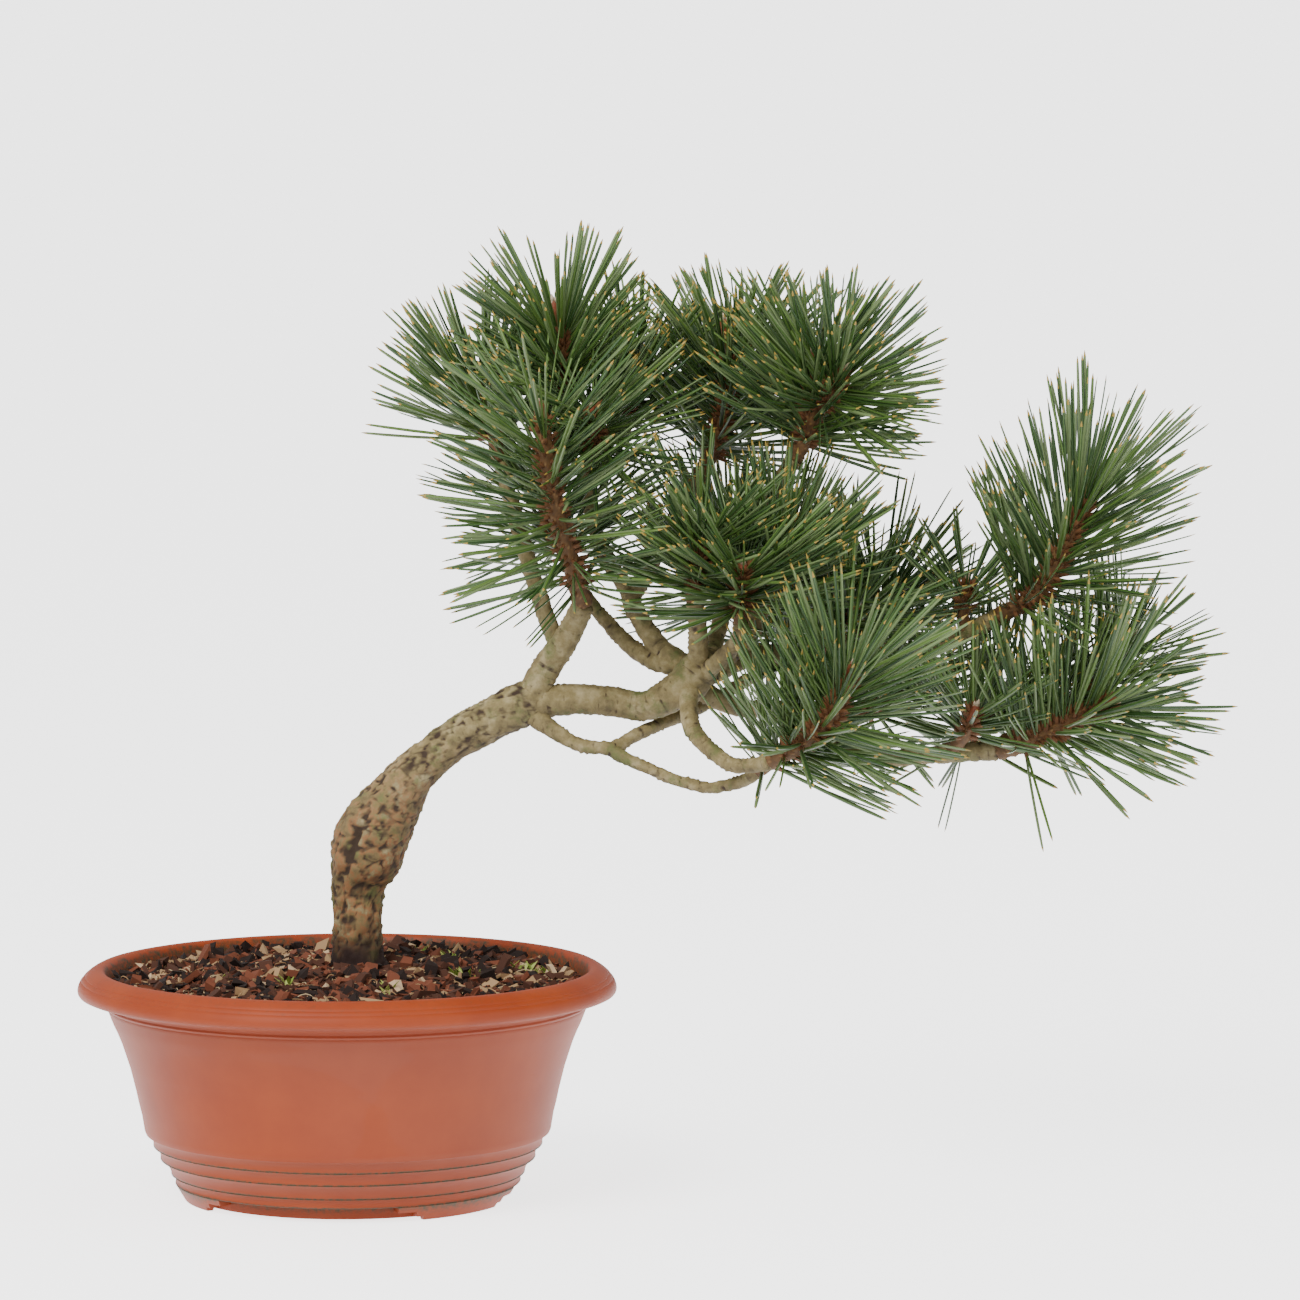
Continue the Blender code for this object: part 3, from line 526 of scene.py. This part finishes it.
def makeBark():
    # Blender seeds its noise vectors from the clock unless a seed is set
    noise.seed_set(trunkBark["warpSeed"])
    pile = Pile()
    barkTube(pile, limbs["trunk"], "trunk", barkFigures["trunkSides"])
    for name, bends in limbs.items():
        if name != "trunk":
            barkTube(pile, bends, "bough")
    bark = pile.build("bark_of_trunk_and_boughs", [pineBark()])
    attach(bark, "root")
    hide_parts(*limbs)
    print("bark:", len(bark.data.polygons), "faces")


# shoots, buds and needles

needleFigures = {"length": 66.0, "lengthRange": (0.84, 1.04), "density": 1.5, "halfWidth": 0.95,
                 "thickness": 0.78, "shorterHalf": 0.97, "spread": 5.5, "spreadShares": (0.35, 0.65),
                 "closeIn": 1.6, "closeEarly": 0.3, "sideFrom": (0.31, 0.52, 0.8), "bow": 3.2,
                 "leastBow": 0.4, "bowShare": 0.9, "turnDrift": 0.35, "tiltDrift": 9, "droop": -0.5,
                 "droopLost": 0.8, "rootDepth": 0.8, "clearance": 0.6, "lowestTip": 126,
                 "checkedAt": (0.3, 0.55, 0.8, 1.0), "toneShares": (0.42, 0.82)}
# along the needle: the share of its length at each ring, and its width there
needleRings = np.array([0, 0.05, 0.22, 0.42, 0.62, 0.82, 0.955, 1.0])
needleTaper = np.array([0.7, 0.92, 1.0, 1.0, 1.0, 0.95, 0.74, 0.12])
# half a round, from edge to edge, with its flat side between the last point and the first
needleSection = np.array([[-1.0, 0.0], [-0.62, 0.72], [0.0, 1.0], [0.62, 0.72], [1.0, 0.0]])
# spots along every limb, which needles keep clear of
blockerStep = 4.0
blockers = np.vstack([smoothPath(bends, blockerStep) for bends in limbs.values()])


def needlePairs(figures, path, rng):
    # the source's rule, with more needles: round the stem by the golden angle, widest at its foot
    count, share, wide, close, first, last, _ = figures
    count = round(count * needleFigures["density"])
    drift, tilt = needleFigures["turnDrift"], needleFigures["tiltDrift"]
    runs = runsAlong(path)
    along, across, other = framesAlong(path)
    found = []
    for i in range(count):
        s = (i + 0.5) / count
        target = (first + (last - first) * s) * runs[-1]
        k = int(min(len(path) - 1, np.searchsorted(runs, target)))
        azimuth = i * goldenAngle + rng.uniform(-drift, drift)
        out = across[k] * math.cos(azimuth) + other[k] * math.sin(azimuth)
        opening = math.radians(wide + (close - wide) * s + rng.uniform(-tilt, tilt))
        way = along[k] * math.cos(opening) + out * math.sin(opening)
        length = needleFigures["length"] * share * rng.uniform(*needleFigures["lengthRange"])
        if way[2] < needleFigures["droop"] and rng.random() < needleFigures["droopLost"]:
            continue
        root = path[k, :3] + out * path[k, 3] * needleFigures["rootDepth"]
        reach = root + way * length * np.array(needleFigures["checkedAt"])[:, None]
        gap = np.linalg.norm(reach[:, None] - blockers[None, :, :3], axis=2) - blockers[None, :, 3]
        if gap.min() < needleFigures["clearance"] or reach[-1][2] < needleFigures["lowestTip"]:
            continue
        found.append((root, way, length, rng.random(), rng.random(), rng.uniform(0, math.tau)))
    return found


def halfNeedle(root, way, length, sway, side, up, half):
    # the points of one needle of a pair; half is 1 or -1, for the side of the pair that it is on
    figures = needleFigures
    lift = np.array([0, 0, 1.0]) * figures["bow"] * (figures["leastBow"] + sway) * figures["bowShare"]
    least, more = figures["spreadShares"]
    slant = math.radians(figures["spread"] * (least + more * sway)) * half
    heading = way * math.cos(slant) + up * math.sin(slant)
    normal = np.cross(side, heading) * -half
    normal /= np.linalg.norm(normal)
    if normal @ (up * half) < 0:
        normal = -normal
    reach = length * (1.0 if half == 1 else figures["shorterHalf"])
    t = needleRings
    inwards = up * half * figures["closeIn"] * (t * t * (1 - figures["closeEarly"] * t))[:, None]
    centre = root + heading * reach * t[:, None] + lift * (t**2)[:, None] - inwards
    taper = needleTaper[:, None, None]
    width = side * (needleSection[:, 0] * figures["halfWidth"])[None, :, None] * taper
    depth = normal * (needleSection[:, 1] * figures["thickness"])[None, :, None] * taper
    return (centre[:, None, :] + width + depth).reshape(-1, 3)


def needleFaces(start, tone, half):
    # one needle's faces and the finish of each: foot, green, a lighter streak, the inner band, and tip
    rings, points = len(needleRings), len(needleSection)
    faces, finish = [], []
    for r in range(rings - 1):
        for s in range(points):
            q = (s + 1) % points
            low, high = start + r * points, start + (r + 1) * points
            quad = (low + s, low + q, high + q, high + s)
            faces.append(quad if half > 0 else quad[::-1])
            if r == 0:
                finish.append(paleFoot)
            elif r == rings - 2:
                finish.append(yellowTip)
            elif s == points - 1:
                finish.append(innerBand)
            else:
                finish.append(min(lightGreen, tone + 1) if s == 1 else tone)
    tip = start + (rings - 1) * points
    faces += [tuple(tip + s for s in range(points)), tuple(start + s for s in range(points))[::-1]]
    return faces, finish + [yellowTip, paleFoot]


def needleMesh(name, pairs):
    # two half-round needles from each root, flat sides together, a little apart at their tips
    verts, faces, finish = [], [], []
    darkShare, midShare = needleFigures["toneShares"]
    for root, way, length, shade, sway, roll in pairs:
        side = np.cross(way, needleFigures["sideFrom"])
        side /= np.linalg.norm(side)
        up = np.cross(side, way)
        cosine, sine = math.cos(roll), math.sin(roll)
        side, up = side * cosine + up * sine, up * cosine - side * sine
        tone = deepGreen if shade < darkShare else midGreen if shade < midShare else lightGreen
        for half in (1, -1):
            start = len(verts) * len(needleRings) * len(needleSection)
            verts.append(halfNeedle(root, way, length, sway, side, up, half))
            newFaces, newFinish = needleFaces(start, tone, half)
            faces += newFaces
            finish += newFinish
    obj = meshObject(name, np.vstack(verts), faces, needleFinishes, finish)
    faceOutwards(obj)
    return obj


def coneRings(pile, foot, way, steps, sides, finish, twist=0.0):
    # a round body from (distance, radius) steps
    way = Vector(way).normalized()
    side = way.orthogonal().normalized()
    other = way.cross(side)
    verts = []
    for k, (distance, radius) in enumerate(steps):
        for s in range(sides):
            a = math.tau * s / sides + twist * k
            out = side * math.cos(a) + other * math.sin(a)
            verts.append(Vector(foot) + way * distance + out * radius)
    pile.add(np.array(verts), tubeFaces(len(steps), sides), finish)


# steps are (distance, radius) along the body
budFigures = {"sheath": ((-1.5, 1.1), (2.0, 1.25), (6.0, 0.95)), "sheathSides": 6,
              "scales": ((-9, 1.6), (-6, 2.6), (-3, 2.9), (0, 2.4), (3, 1.6)),
              "resin": ((3, 1.6), (5, 0.9), (6.5, 0.15)), "sides": 8, "twist": 0.4, "setBack": 3,
              "lean": 24, "turn": 1.7, "sideSize": (0.55, 0.8), "onStrongShoot": 5, "onWeakShoot": 3,
              "strongPairs": 60, "groups": 4, "firstSeed": 100}
sheathPart, scalePart, resinPart = range(3)


def addBuds(pile, path, count, rng):
    # a middle bud and smaller ones leaning out round it
    figures = budFigures
    end, before = Vector(path[-1, :3]), Vector(path[-6, :3])
    bud = (end - before).normalized()
    foot = end - bud * figures["setBack"]
    for k in range(count):
        lean = Matrix.Rotation(math.radians(0 if k == 0 else figures["lean"]), 3, bud.orthogonal())
        turned = Matrix.Rotation(k * figures["turn"], 3, bud) @ (lean @ bud)
        size = 1.0 if k == 0 else rng.uniform(*figures["sideSize"])
        for part, finish in (("scales", scalePart), ("resin", resinPart)):
            steps = [(distance * size, radius * size) for distance, radius in figures[part]]
            coneRings(pile, foot, turned, steps, figures["sides"], finish, figures["twist"])


def makeTufts():
    smallFinishes = [plainFinish("papery_needle_sheath", "#7a4f2c", 0.8),  # dull brown paper at each root
                     plainFinish("pine_bud_scales", "#8e4a2c", 0.6),  # red-brown, slightly shiny scales
                     plainFinish("white_resin_on_bud", "#d9c3a6", 0.45)]  # a pale waxy cap
    stemFinish = shootBark()
    groups = {}
    for n, name in enumerate(tufts):
        groups.setdefault(n % budFigures["groups"], []).append(name)
    for g, members in groups.items():
        rng = random.Random(budFigures["firstSeed"] + g)
        pairs, stems, small = [], Pile(), Pile()
        for name in members:
            stemsHere = [tufts[name]] + [twig for owner, twig in sideTwigs if owner == name]
            for figures in stemsHere:
                path = smoothPath(figures[-1], barkFigures["ringStep"])
                barkTube(stems, figures[-1], "shoot")
                found = needlePairs(figures, path, rng)
                pairs += found
                sheath, sides = budFigures["sheath"], budFigures["sheathSides"]
                for root, way, *_ in found:
                    coneRings(small, root, way, sheath, sides, sheathPart)
                strong = figures[0] > budFigures["strongPairs"]
                addBuds(small, path, budFigures["onStrongShoot" if strong else "onWeakShoot"], rng)
        needles = needleMesh(f"pine_needles_{g + 1}", pairs)
        stemPiece = stems.build(f"young_shoots_{g + 1}", [stemFinish])
        smallPiece = small.build(f"sheaths_and_buds_{g + 1}", smallFinishes)
        for piece in (needles, stemPiece, smallPiece):
            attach(piece, "root")
        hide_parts(*members)
        print("tuft group", g + 1, len(pairs), "pairs,", len(needles.data.polygons), "faces")


# pot: places on its outline are (radius, height)

potFigures = {"steps": 192, "sharpAngle": 38, "beadBulge": -1.15, "beadPoints": 7,
              "grooves": ((97.3, 27.0), (93.8, 20.4), (88.5, 12.8), (86.4, 7.8)),
              "notches": 3, "firstNotch": -13.0, "notchTop": 7.8, "notchInner": 78.2, "notchOuter": 102,
              "notchBelow": -2,
              "notchAngles": (0, 8, 16, 24), "notchRamp": 0.5,
              "notchSteps": ((32.0, 7.8), (39.0, 4.6), (42.0, 2.0))}
# the pot's darkening: painted shade in the grooves and inside the rim, dirt on the rim's top and a little
# all over
potShadeAndDirt = {"grooveWidth": 0.9, "inside": 0.8, "insideFrom": 101, "rim": 0.42, "rimFrom": 108,
           "rimRadius": 121, "least": 0.1}


def arcPoints(a, b, bulge, count):
    # points from a to b, pushed out by the bulge at the middle, without b
    ax, az = a
    bx, bz = b
    length = math.hypot(bx - ax, bz - az)
    nx, nz = -(bz - az) / length, (bx - ax) / length
    points = []
    for t in (k / count for k in range(count)):
        rise = 4 * t * (1 - t)
        points.append((ax + (bx - ax) * t + nx * bulge * rise, az + (bz - az) * t + nz * bulge * rise))
    return points


def potOutline():
    # from the middle of the floor inside, over the rim and down to the foot
    inside = [(0, 3.9), (75.8, 3.9), (75.8, 10.6), (85.9, 12.8), (98.7, 35.3), (106.0, 67.2)]
    inside.append((116.4, 93.0))
    # the rolled rim, with its fine steps, down to the neck under it
    rim = [(119.6, 108.0), (120.4, 112.1), (121.0, 113.9), (122.1, 115.2), (123.8, 115.7), (125.6, 115.4)]
    rim += [(127.6, 114.4), (129.4, 113.2), (130.6, 112.2), (130.8, 111.7), (131.4, 111.5), (132.4, 110.2)]
    rim += [(132.6, 109.6), (133.2, 109.3), (134.0, 107.8), (134.5, 106.4), (134.7, 105.0), (134.5, 103.8)]
    rim += [(133.9, 102.9), (132.8, 102.4), (128.0, 101.2), (123.4, 100.3), (121.2, 99.4), (120.3, 98.2)]
    rim += [(120.6, 97.2), (120.2, 96.4), (119.6, 96.0), (119.7, 95.2), (119.2, 94.2)]
    # the flared wall
    body = [(118.0, 90.9), (116.8, 88.0), (115.3, 84.9), (112.8, 78.8), (110.8, 72.7), (109.2, 67.8)]
    body += [(109.1, 67.4), (108.8, 66.6), (107.3, 60.6), (105.8, 54.5), (104.5, 48.4), (103.0, 42.4)]
    body += [(102.0, 36.3), (101.7, 34.4), (101.1, 33.0)]
    # rounded beads with a fine groove under each
    beads = []
    upper = body[-1]
    for radius, height in potFigures["grooves"]:
        beads += arcPoints(upper, (radius, height), potFigures["beadBulge"], potFigures["beadPoints"])[1:]
        beads += [(radius + 0.05, height + 0.25), (radius - 0.15, height)]
        upper = (radius + 0.1, height - 0.25)
        beads.append(upper)
    foot = [(82.3, 0.5), (82.0, 0.0), (79.0, 0.0), (78.6, 1.3), (0, 1.3)]
    return [*inside, *rim, *body, *beads, *foot]


def notchBlock(middle):
    # a block that cuts the stepped gap between two feet; half of it is (angle, height), then mirrored
    top = potFigures["notchTop"]
    steps = potFigures["notchSteps"]
    half = [(angle, top) for angle in potFigures["notchAngles"]]
    for (angle, height), (_, following) in zip(steps, (*steps[1:], (0, -1))):
        half += [(angle, height), (angle + potFigures["notchRamp"], following)]
    sections = [(-angle, height) for angle, height in reversed(half[1:])] + half
    inner, outer, below = (potFigures[key] for key in ("notchInner", "notchOuter", "notchBelow"))
    rings = []
    for angle, height in sections:
        turn = math.radians(middle + angle)
        out = np.array((math.sin(turn), -math.cos(turn), 0))
        for r, z in ((inner, below), (outer, below), (outer, height), (inner, height)):
            rings.append(out * r + np.array((0, 0, z)))
    block = meshObject("notch", np.array(rings), tubeFaces(len(sections), 4), [])
    faceOutwards(block)
    return block


# how dark the pot is painted here: shade in the grooves and inside the rim, dirt on the rim's top, a
# little everywhere
def shadeAndDirtAt(spot):
    r = math.hypot(spot.x - potAxis.x, spot.y - potAxis.y) / mm
    z = spot.z / mm
    heights = [height for _, height in potFigures["grooves"]]
    groove = max(math.exp(-((z - height) / potShadeAndDirt["grooveWidth"]) ** 2) for height in heights)
    inside = potShadeAndDirt["inside"] if r < potShadeAndDirt["rimRadius"] and z > potShadeAndDirt["insideFrom"] else 0.0
    rim = potShadeAndDirt["rim"] if r > potShadeAndDirt["rimRadius"] and z > potShadeAndDirt["rimFrom"] else 0.0
    return max(groove, inside, rim, potShadeAndDirt["least"])


def makePot():
    profile = potOutline()
    steps, count = potFigures["steps"], len(profile)
    verts, faces = [], []
    for k in range(steps):
        a = math.tau * k / steps
        verts += [(r * math.cos(a), r * math.sin(a), z) for r, z in profile]
        here, there = k * count, (k + 1) % steps * count
        faces += [(here + i, there + i, there + i + 1, here + i + 1) for i in range(count - 1)]
    pot = meshObject("plastic_bowl_pot", np.array(verts), faces, [mouldedPotPlastic()])
    faceOutwards(pot, merge=True)
    for n in range(potFigures["notches"]):
        block = notchBlock(potFigures["firstNotch"] + n * 360 / potFigures["notches"])
        cut = pot.modifiers.new("notch", "BOOLEAN")
        cut.object = block
        cut.solver = "EXACT"
        graph = bpy.context.evaluated_depsgraph_get()
        mesh = bpy.data.meshes.new_from_object(pot.evaluated_get(graph))
        pot.modifiers.clear()
        pot.data = mesh
        bpy.data.objects.remove(block, do_unlink=True)
    # painted shade and dirt, kept on the pot for its colour
    dirt = [shadeAndDirtAt(v.co) for v in pot.data.vertices]
    pot.data.attributes.new("dirt", "FLOAT", "POINT").data.foreach_set("value", dirt)
    pot.data.shade_smooth()
    pot.data.set_sharp_from_angle(angle=math.radians(potFigures["sharpAngle"]))
    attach(pot, "root")
    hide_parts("pot")
    print("pot:", len(pot.data.polygons), "faces")


# soil

soilFigures = {"seed": 31, "mound": 113.4, "edge": 107.6, "flatTop": 30, "slope": 88, "waves": 14,
               "waveHeight": 1.6, "radius": 118.6, "rings": 46, "sides": 120, "crumb": 3.2,
               "crumbHeight": 1.3, "crumbSlice": 3}
# the bed's wall and floor inside the pot, as (radius, height)
bedWall = ((116.0, 92.8), (105.6, 67.2), (98.2, 35.3), (85.4, 13.2), (75.3, 11.0), (75.3, 4.4),
           (0.2, 4.4))


def soilHeight(x, y):
    r = math.hypot(x, y)
    t = clamp((r - soilFigures["flatTop"]) / soilFigures["slope"])
    base = soilFigures["mound"] + (soilFigures["edge"] - soilFigures["mound"]) * t
    return base + softNoise(Vector((x, y, 0)) / soilFigures["waves"]) * soilFigures["waveHeight"]


def makeBed():
    # the closed bed under the chips
    rings, sides = soilFigures["rings"], soilFigures["sides"]
    angles = [math.tau * s / sides for s in range(sides)]
    verts = []
    for k in range(rings + 1):
        r = soilFigures["radius"] * k / rings
        for a in angles:
            x, y = r * math.cos(a), r * math.sin(a)
            spot = Vector((x, y, soilFigures["crumbSlice"]))
            crumbs = softNoise(spot / soilFigures["crumb"]) * soilFigures["crumbHeight"]
            verts.append((x, y, soilHeight(x, y) + (crumbs if k < rings else 0)))
    for r, z in bedWall:
        verts += [(r * math.cos(a), r * math.sin(a), z) for a in angles]
    faces = tubeFaces(rings + 1 + len(bedWall), sides)
    bed = meshObject("soil_bed", np.array(verts), faces, [pottingFines()])
    faceOutwards(bed, merge=True)
    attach(bed, "root")
    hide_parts("soil")


chipFigures = {"count": 5200, "reach": 117, "limit": 118.4, "least": (1.0, 0.7, 0.35),
               "growth": (6.5, 2.2, 0.9), "ragged": 0.35, "tip": 0.5, "roll": 0.6, "sunk": -0.4,
               "raised": 1.9, "trunkFoot": (6, 12), "trunkGap": 14.5, "shares": (0.3, 0.62, 0.86, 0.97)}
fibreFigures = {"count": 900, "reach": 112, "limit": 117, "length": (4, 15), "bend": 1.2,
                "rise": (0.2, 2.6), "points": 5, "radius": 0.28, "lift": 1.2, "corners": (0, 2.1, 4.2),
                "finishes": (1, 2, 3, 5)}
cube = np.array([(x, y, z) for z in (-1, 1) for y in (-1, 1) for x in (-1, 1)], float)
cubeFaces = ((0, 2, 3, 1), (4, 5, 7, 6), (0, 1, 5, 4), (2, 6, 7, 3), (0, 4, 6, 2), (1, 3, 7, 5))


def spotInRing(reach, rng):
    # evenly spread over a disc
    r, a = reach * math.sqrt(rng.random()), rng.uniform(0, math.tau)
    return r, r * math.cos(a), r * math.sin(a)


def addChip(pile, rng):
    figures = chipFigures
    r, x, y = spotInRing(figures["reach"], rng)
    footX, footY = figures["trunkFoot"]
    if math.hypot(x - footX, y - footY) < figures["trunkGap"]:
        return
    big = rng.random() ** 3
    size = np.array([least + growth * big for least, growth in zip(figures["least"], figures["growth"])])
    ragged = np.array([[rng.uniform(-1, 1) for _ in range(3)] for _ in range(len(cube))])
    corners = cube * size * (1 + figures["ragged"] * ragged)
    turn = Matrix.Rotation(rng.uniform(0, math.tau), 3, "Z")
    turn = turn @ Matrix.Rotation(rng.gauss(0, figures["tip"]), 3, "Y")
    turn = turn @ Matrix.Rotation(rng.gauss(0, figures["roll"]), 3, "X")
    placed = corners @ np.array(turn).T
    if r + np.abs(placed[:, :2]).max() > figures["limit"]:
        return
    lift = soilHeight(x, y) + rng.uniform(figures["sunk"], figures["raised"])
    pick = rng.random()
    finish = sum(pick >= share for share in figures["shares"])
    pile.add(placed + np.array((x, y, lift)), cubeFaces, finish)


def addFibre(pile, rng):
    figures = fibreFigures
    _, x, y = spotInRing(figures["reach"], rng)
    heading, length = rng.uniform(0, math.tau), rng.uniform(*figures["length"])
    bend, rise = rng.uniform(-figures["bend"], figures["bend"]), rng.uniform(*figures["rise"])
    count = figures["points"]
    spots = []
    for t in (k / (count - 1) for k in range(count)):
        way = heading + bend * t
        px, py = x + math.cos(way) * length * (t - 0.5), y + math.sin(way) * length * (t - 0.5)
        if math.hypot(px, py) > figures["limit"]:
            return
        height = soilHeight(px, py) + figures["lift"] + rise * 4 * t * (1 - t)
        spots.append((px, py, height, figures["radius"]))
    path = np.array(spots)
    _, across, other = framesAlong(path)
    rings = [path[i, :3] + (across[i] * math.cos(b) + other[i] * math.sin(b)) * path[i, 3]
             for i in range(count) for b in figures["corners"]]
    pile.add(np.array(rings), tubeFaces(count, len(figures["corners"])), rng.choice(figures["finishes"]))


def makeLitter(rng):
    litter = Pile()
    for _ in range(chipFigures["count"]):
        addChip(litter, rng)
    for _ in range(fibreFigures["count"]):
        addFibre(litter, rng)
    finishes = [plainFinish("dark_bark_chip", "#23150f", 0.9),  # wet and almost black
                plainFinish("brown_bark_chip", "#4a2a1b", 0.9),  # damp, dull brown
                plainFinish("red_brown_bark_fibre", "#75402a", 0.9),  # torn inner bark, warm and matt
                plainFinish("beige_bark_chip", "#a98862", 0.9),  # dry side up, chalky
                plainFinish("pale_wood_chip", "#c9ab86", 0.85),  # clean wood, the lightest specks
                plainFinish("pale_dry_root", "#b9a37e", 0.9)]  # straw-coloured threads
    top = litter.build("bark_chips_and_fibres", finishes, smooth=False)
    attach(top, "root")
    print("soil:", len(top.data.polygons), "faces of chips")


weedFigures = {"leaves": 9, "tall": (2.0, 6.5), "scatter": 0.4, "lift": 0.8, "width": (0.7, 1.3),
               "thickness": 0.25, "waist": 0.35, "waistHeight": 0.6, "reach": 0.8}
# where weeds and moss grow, as (x, y, spread): most of them right of the trunk, where it is dampest
weedPlaces = ((58, -18, 9), (64, -26, 7), (50, 38, 6), (34, 60, 5), (92, 8, 8), (84, 14, 6), (98, 2, 6),
              (-28, -48, 5), (-60, -34, 5), (22, -70, 4))
leafFaces = ((0, 1, 2, 3), (7, 6, 5, 4), (0, 4, 5, 1), (1, 5, 6, 2), (2, 6, 7, 3), (3, 7, 4, 0))


def addLeaf(pile, x, y, spread, rng):
    figures = weedFigures
    a, tall = rng.uniform(0, math.tau), rng.uniform(*figures["tall"])
    drift = spread * figures["scatter"]
    foot = np.array((x + rng.gauss(0, drift), y + rng.gauss(0, drift), 0))
    foot[2] = soilHeight(foot[0], foot[1]) + figures["lift"]
    lean = np.array((math.cos(a), math.sin(a), 0))
    side = np.array((-math.sin(a), math.cos(a), 0))
    width = rng.uniform(*figures["width"])
    up = np.array((0, 0, tall))
    waist = foot + lean * tall * figures["waist"] + up * figures["waistHeight"]
    leaf = [foot, waist + side * width, foot + lean * tall * figures["reach"] + up, waist - side * width]
    under = [p - np.array((0, 0, figures["thickness"])) for p in leaf]
    pile.add(np.array(leaf + under), leafFaces, rng.choice((0, 1)))


def makeWeeds(rng):
    greens = Pile()
    for x, y, spread in weedPlaces:
        for _ in range(weedFigures["leaves"]):
            addLeaf(greens, x, y, spread, rng)
    finishes = [plainFinish("fresh_moss", "#7e9436", 0.7),  # soft and bright against the dark soil
                plainFinish("pale_seedling_leaf", "#a9b35c", 0.6)]  # thin, yellowish, slightly smooth
    weeds = greens.build("moss_and_seedlings", finishes, smooth=False)
    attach(weeds, "root")


def makeSoil():
    rng = random.Random(soilFigures["seed"])
    makeBed()
    makeLitter(rng)
    makeWeeds(rng)


# studio: spots are metres, except the camera's, in millimetres from the pot's axis

studio = {"cameraSpot": (151.25, -3321.9, 576.7), "pitch": 5.2, "focalPixels": 6700, "framePixels": 1300,
          "sensor": 36, "farthest": 100, "floorReach": 30, "floorColour": "#f6f6f6", "floorGlow": 2.6,
          "skyLight": 0.75, "skySeen": 3.3, "lampAim": (0, 0, 0.22),
          "lamps": (("key_softbox", (-1.1, -1.8, 2.0), 1.4, 62),
                    ("fill_softbox", (2.0, -1.4, 1.4), 1.8, 16))}


def makeFloor():
    # a sheet of pale paper, lit to near white, that casts no light back on the plant
    finish, _, shader = newMaterial("pale_studio_floor", 0.9, studio["floorColour"])
    shader.inputs["Emission Color"].default_value = (1, 1, 1, 1)
    shader.inputs["Emission Strength"].default_value = studio["floorGlow"]
    reach = studio["floorReach"]
    corners = [(-reach, -reach, 0), (reach, -reach, 0), (reach, reach, 0), (-reach, reach, 0)]
    mesh = bpy.data.meshes.new("studio_floor")
    mesh.from_pydata(corners, [], [(0, 1, 2, 3)])
    mesh.materials.append(finish)
    floor = bpy.data.objects.new("studio_floor", mesh)
    bpy.context.scene.collection.objects.link(floor)
    floor.visible_diffuse = False


def makeSky():
    # the backdrop is seen white, and lights the plant more gently than it looks
    world = bpy.data.worlds.new("pale_studio")
    world.use_nodes = True
    tree = world.node_tree
    sky = tree.nodes["Background"]
    sky.inputs["Color"].default_value = (1, 1, 1, 1)
    seen = addNode(tree, "LightPath").outputs["Is Camera Ray"]
    light, shown = studio["skyLight"], studio["skySeen"]
    strength = addNode(tree, "MapRange", {"To Min": light, "To Max": shown}, {"Value": seen})
    tree.links.new(strength.outputs[0], sky.inputs["Strength"])
    bpy.context.scene.world = world


def aimed(name, data, spot, way):
    # a lamp or camera at its spot, looking along the way
    holder = bpy.data.objects.new(name, data)
    bpy.context.scene.collection.objects.link(holder)
    holder.location = spot
    holder.rotation_mode = "QUATERNION"
    holder.rotation_quaternion = way.to_track_quat("-Z", "Y")
    return holder


def makeStudio():
    makeFloor()
    makeSky()
    for name, spot, size, power in studio["lamps"]:
        lamp = bpy.data.lights.new(name, "AREA")
        lamp.size = size
        lamp.energy = power
        aimed(name, lamp, spot, Vector(studio["lampAim"]) - Vector(spot))
    camera = bpy.data.cameras.new("photo_camera")
    camera.sensor_width = studio["sensor"]
    camera.lens = studio["sensor"] * studio["focalPixels"] / studio["framePixels"]
    camera.clip_end = studio["farthest"]
    pitch = math.radians(studio["pitch"])
    spot = potAxis + Vector(studio["cameraSpot"]) * mm
    way = Vector((0, math.cos(pitch), -math.sin(pitch)))
    bpy.context.scene.camera = aimed("photo_camera", camera, spot, way)
    print("studio set")


makePot()
makeSoil()
makeBark()
makeTufts()
makeStudio()
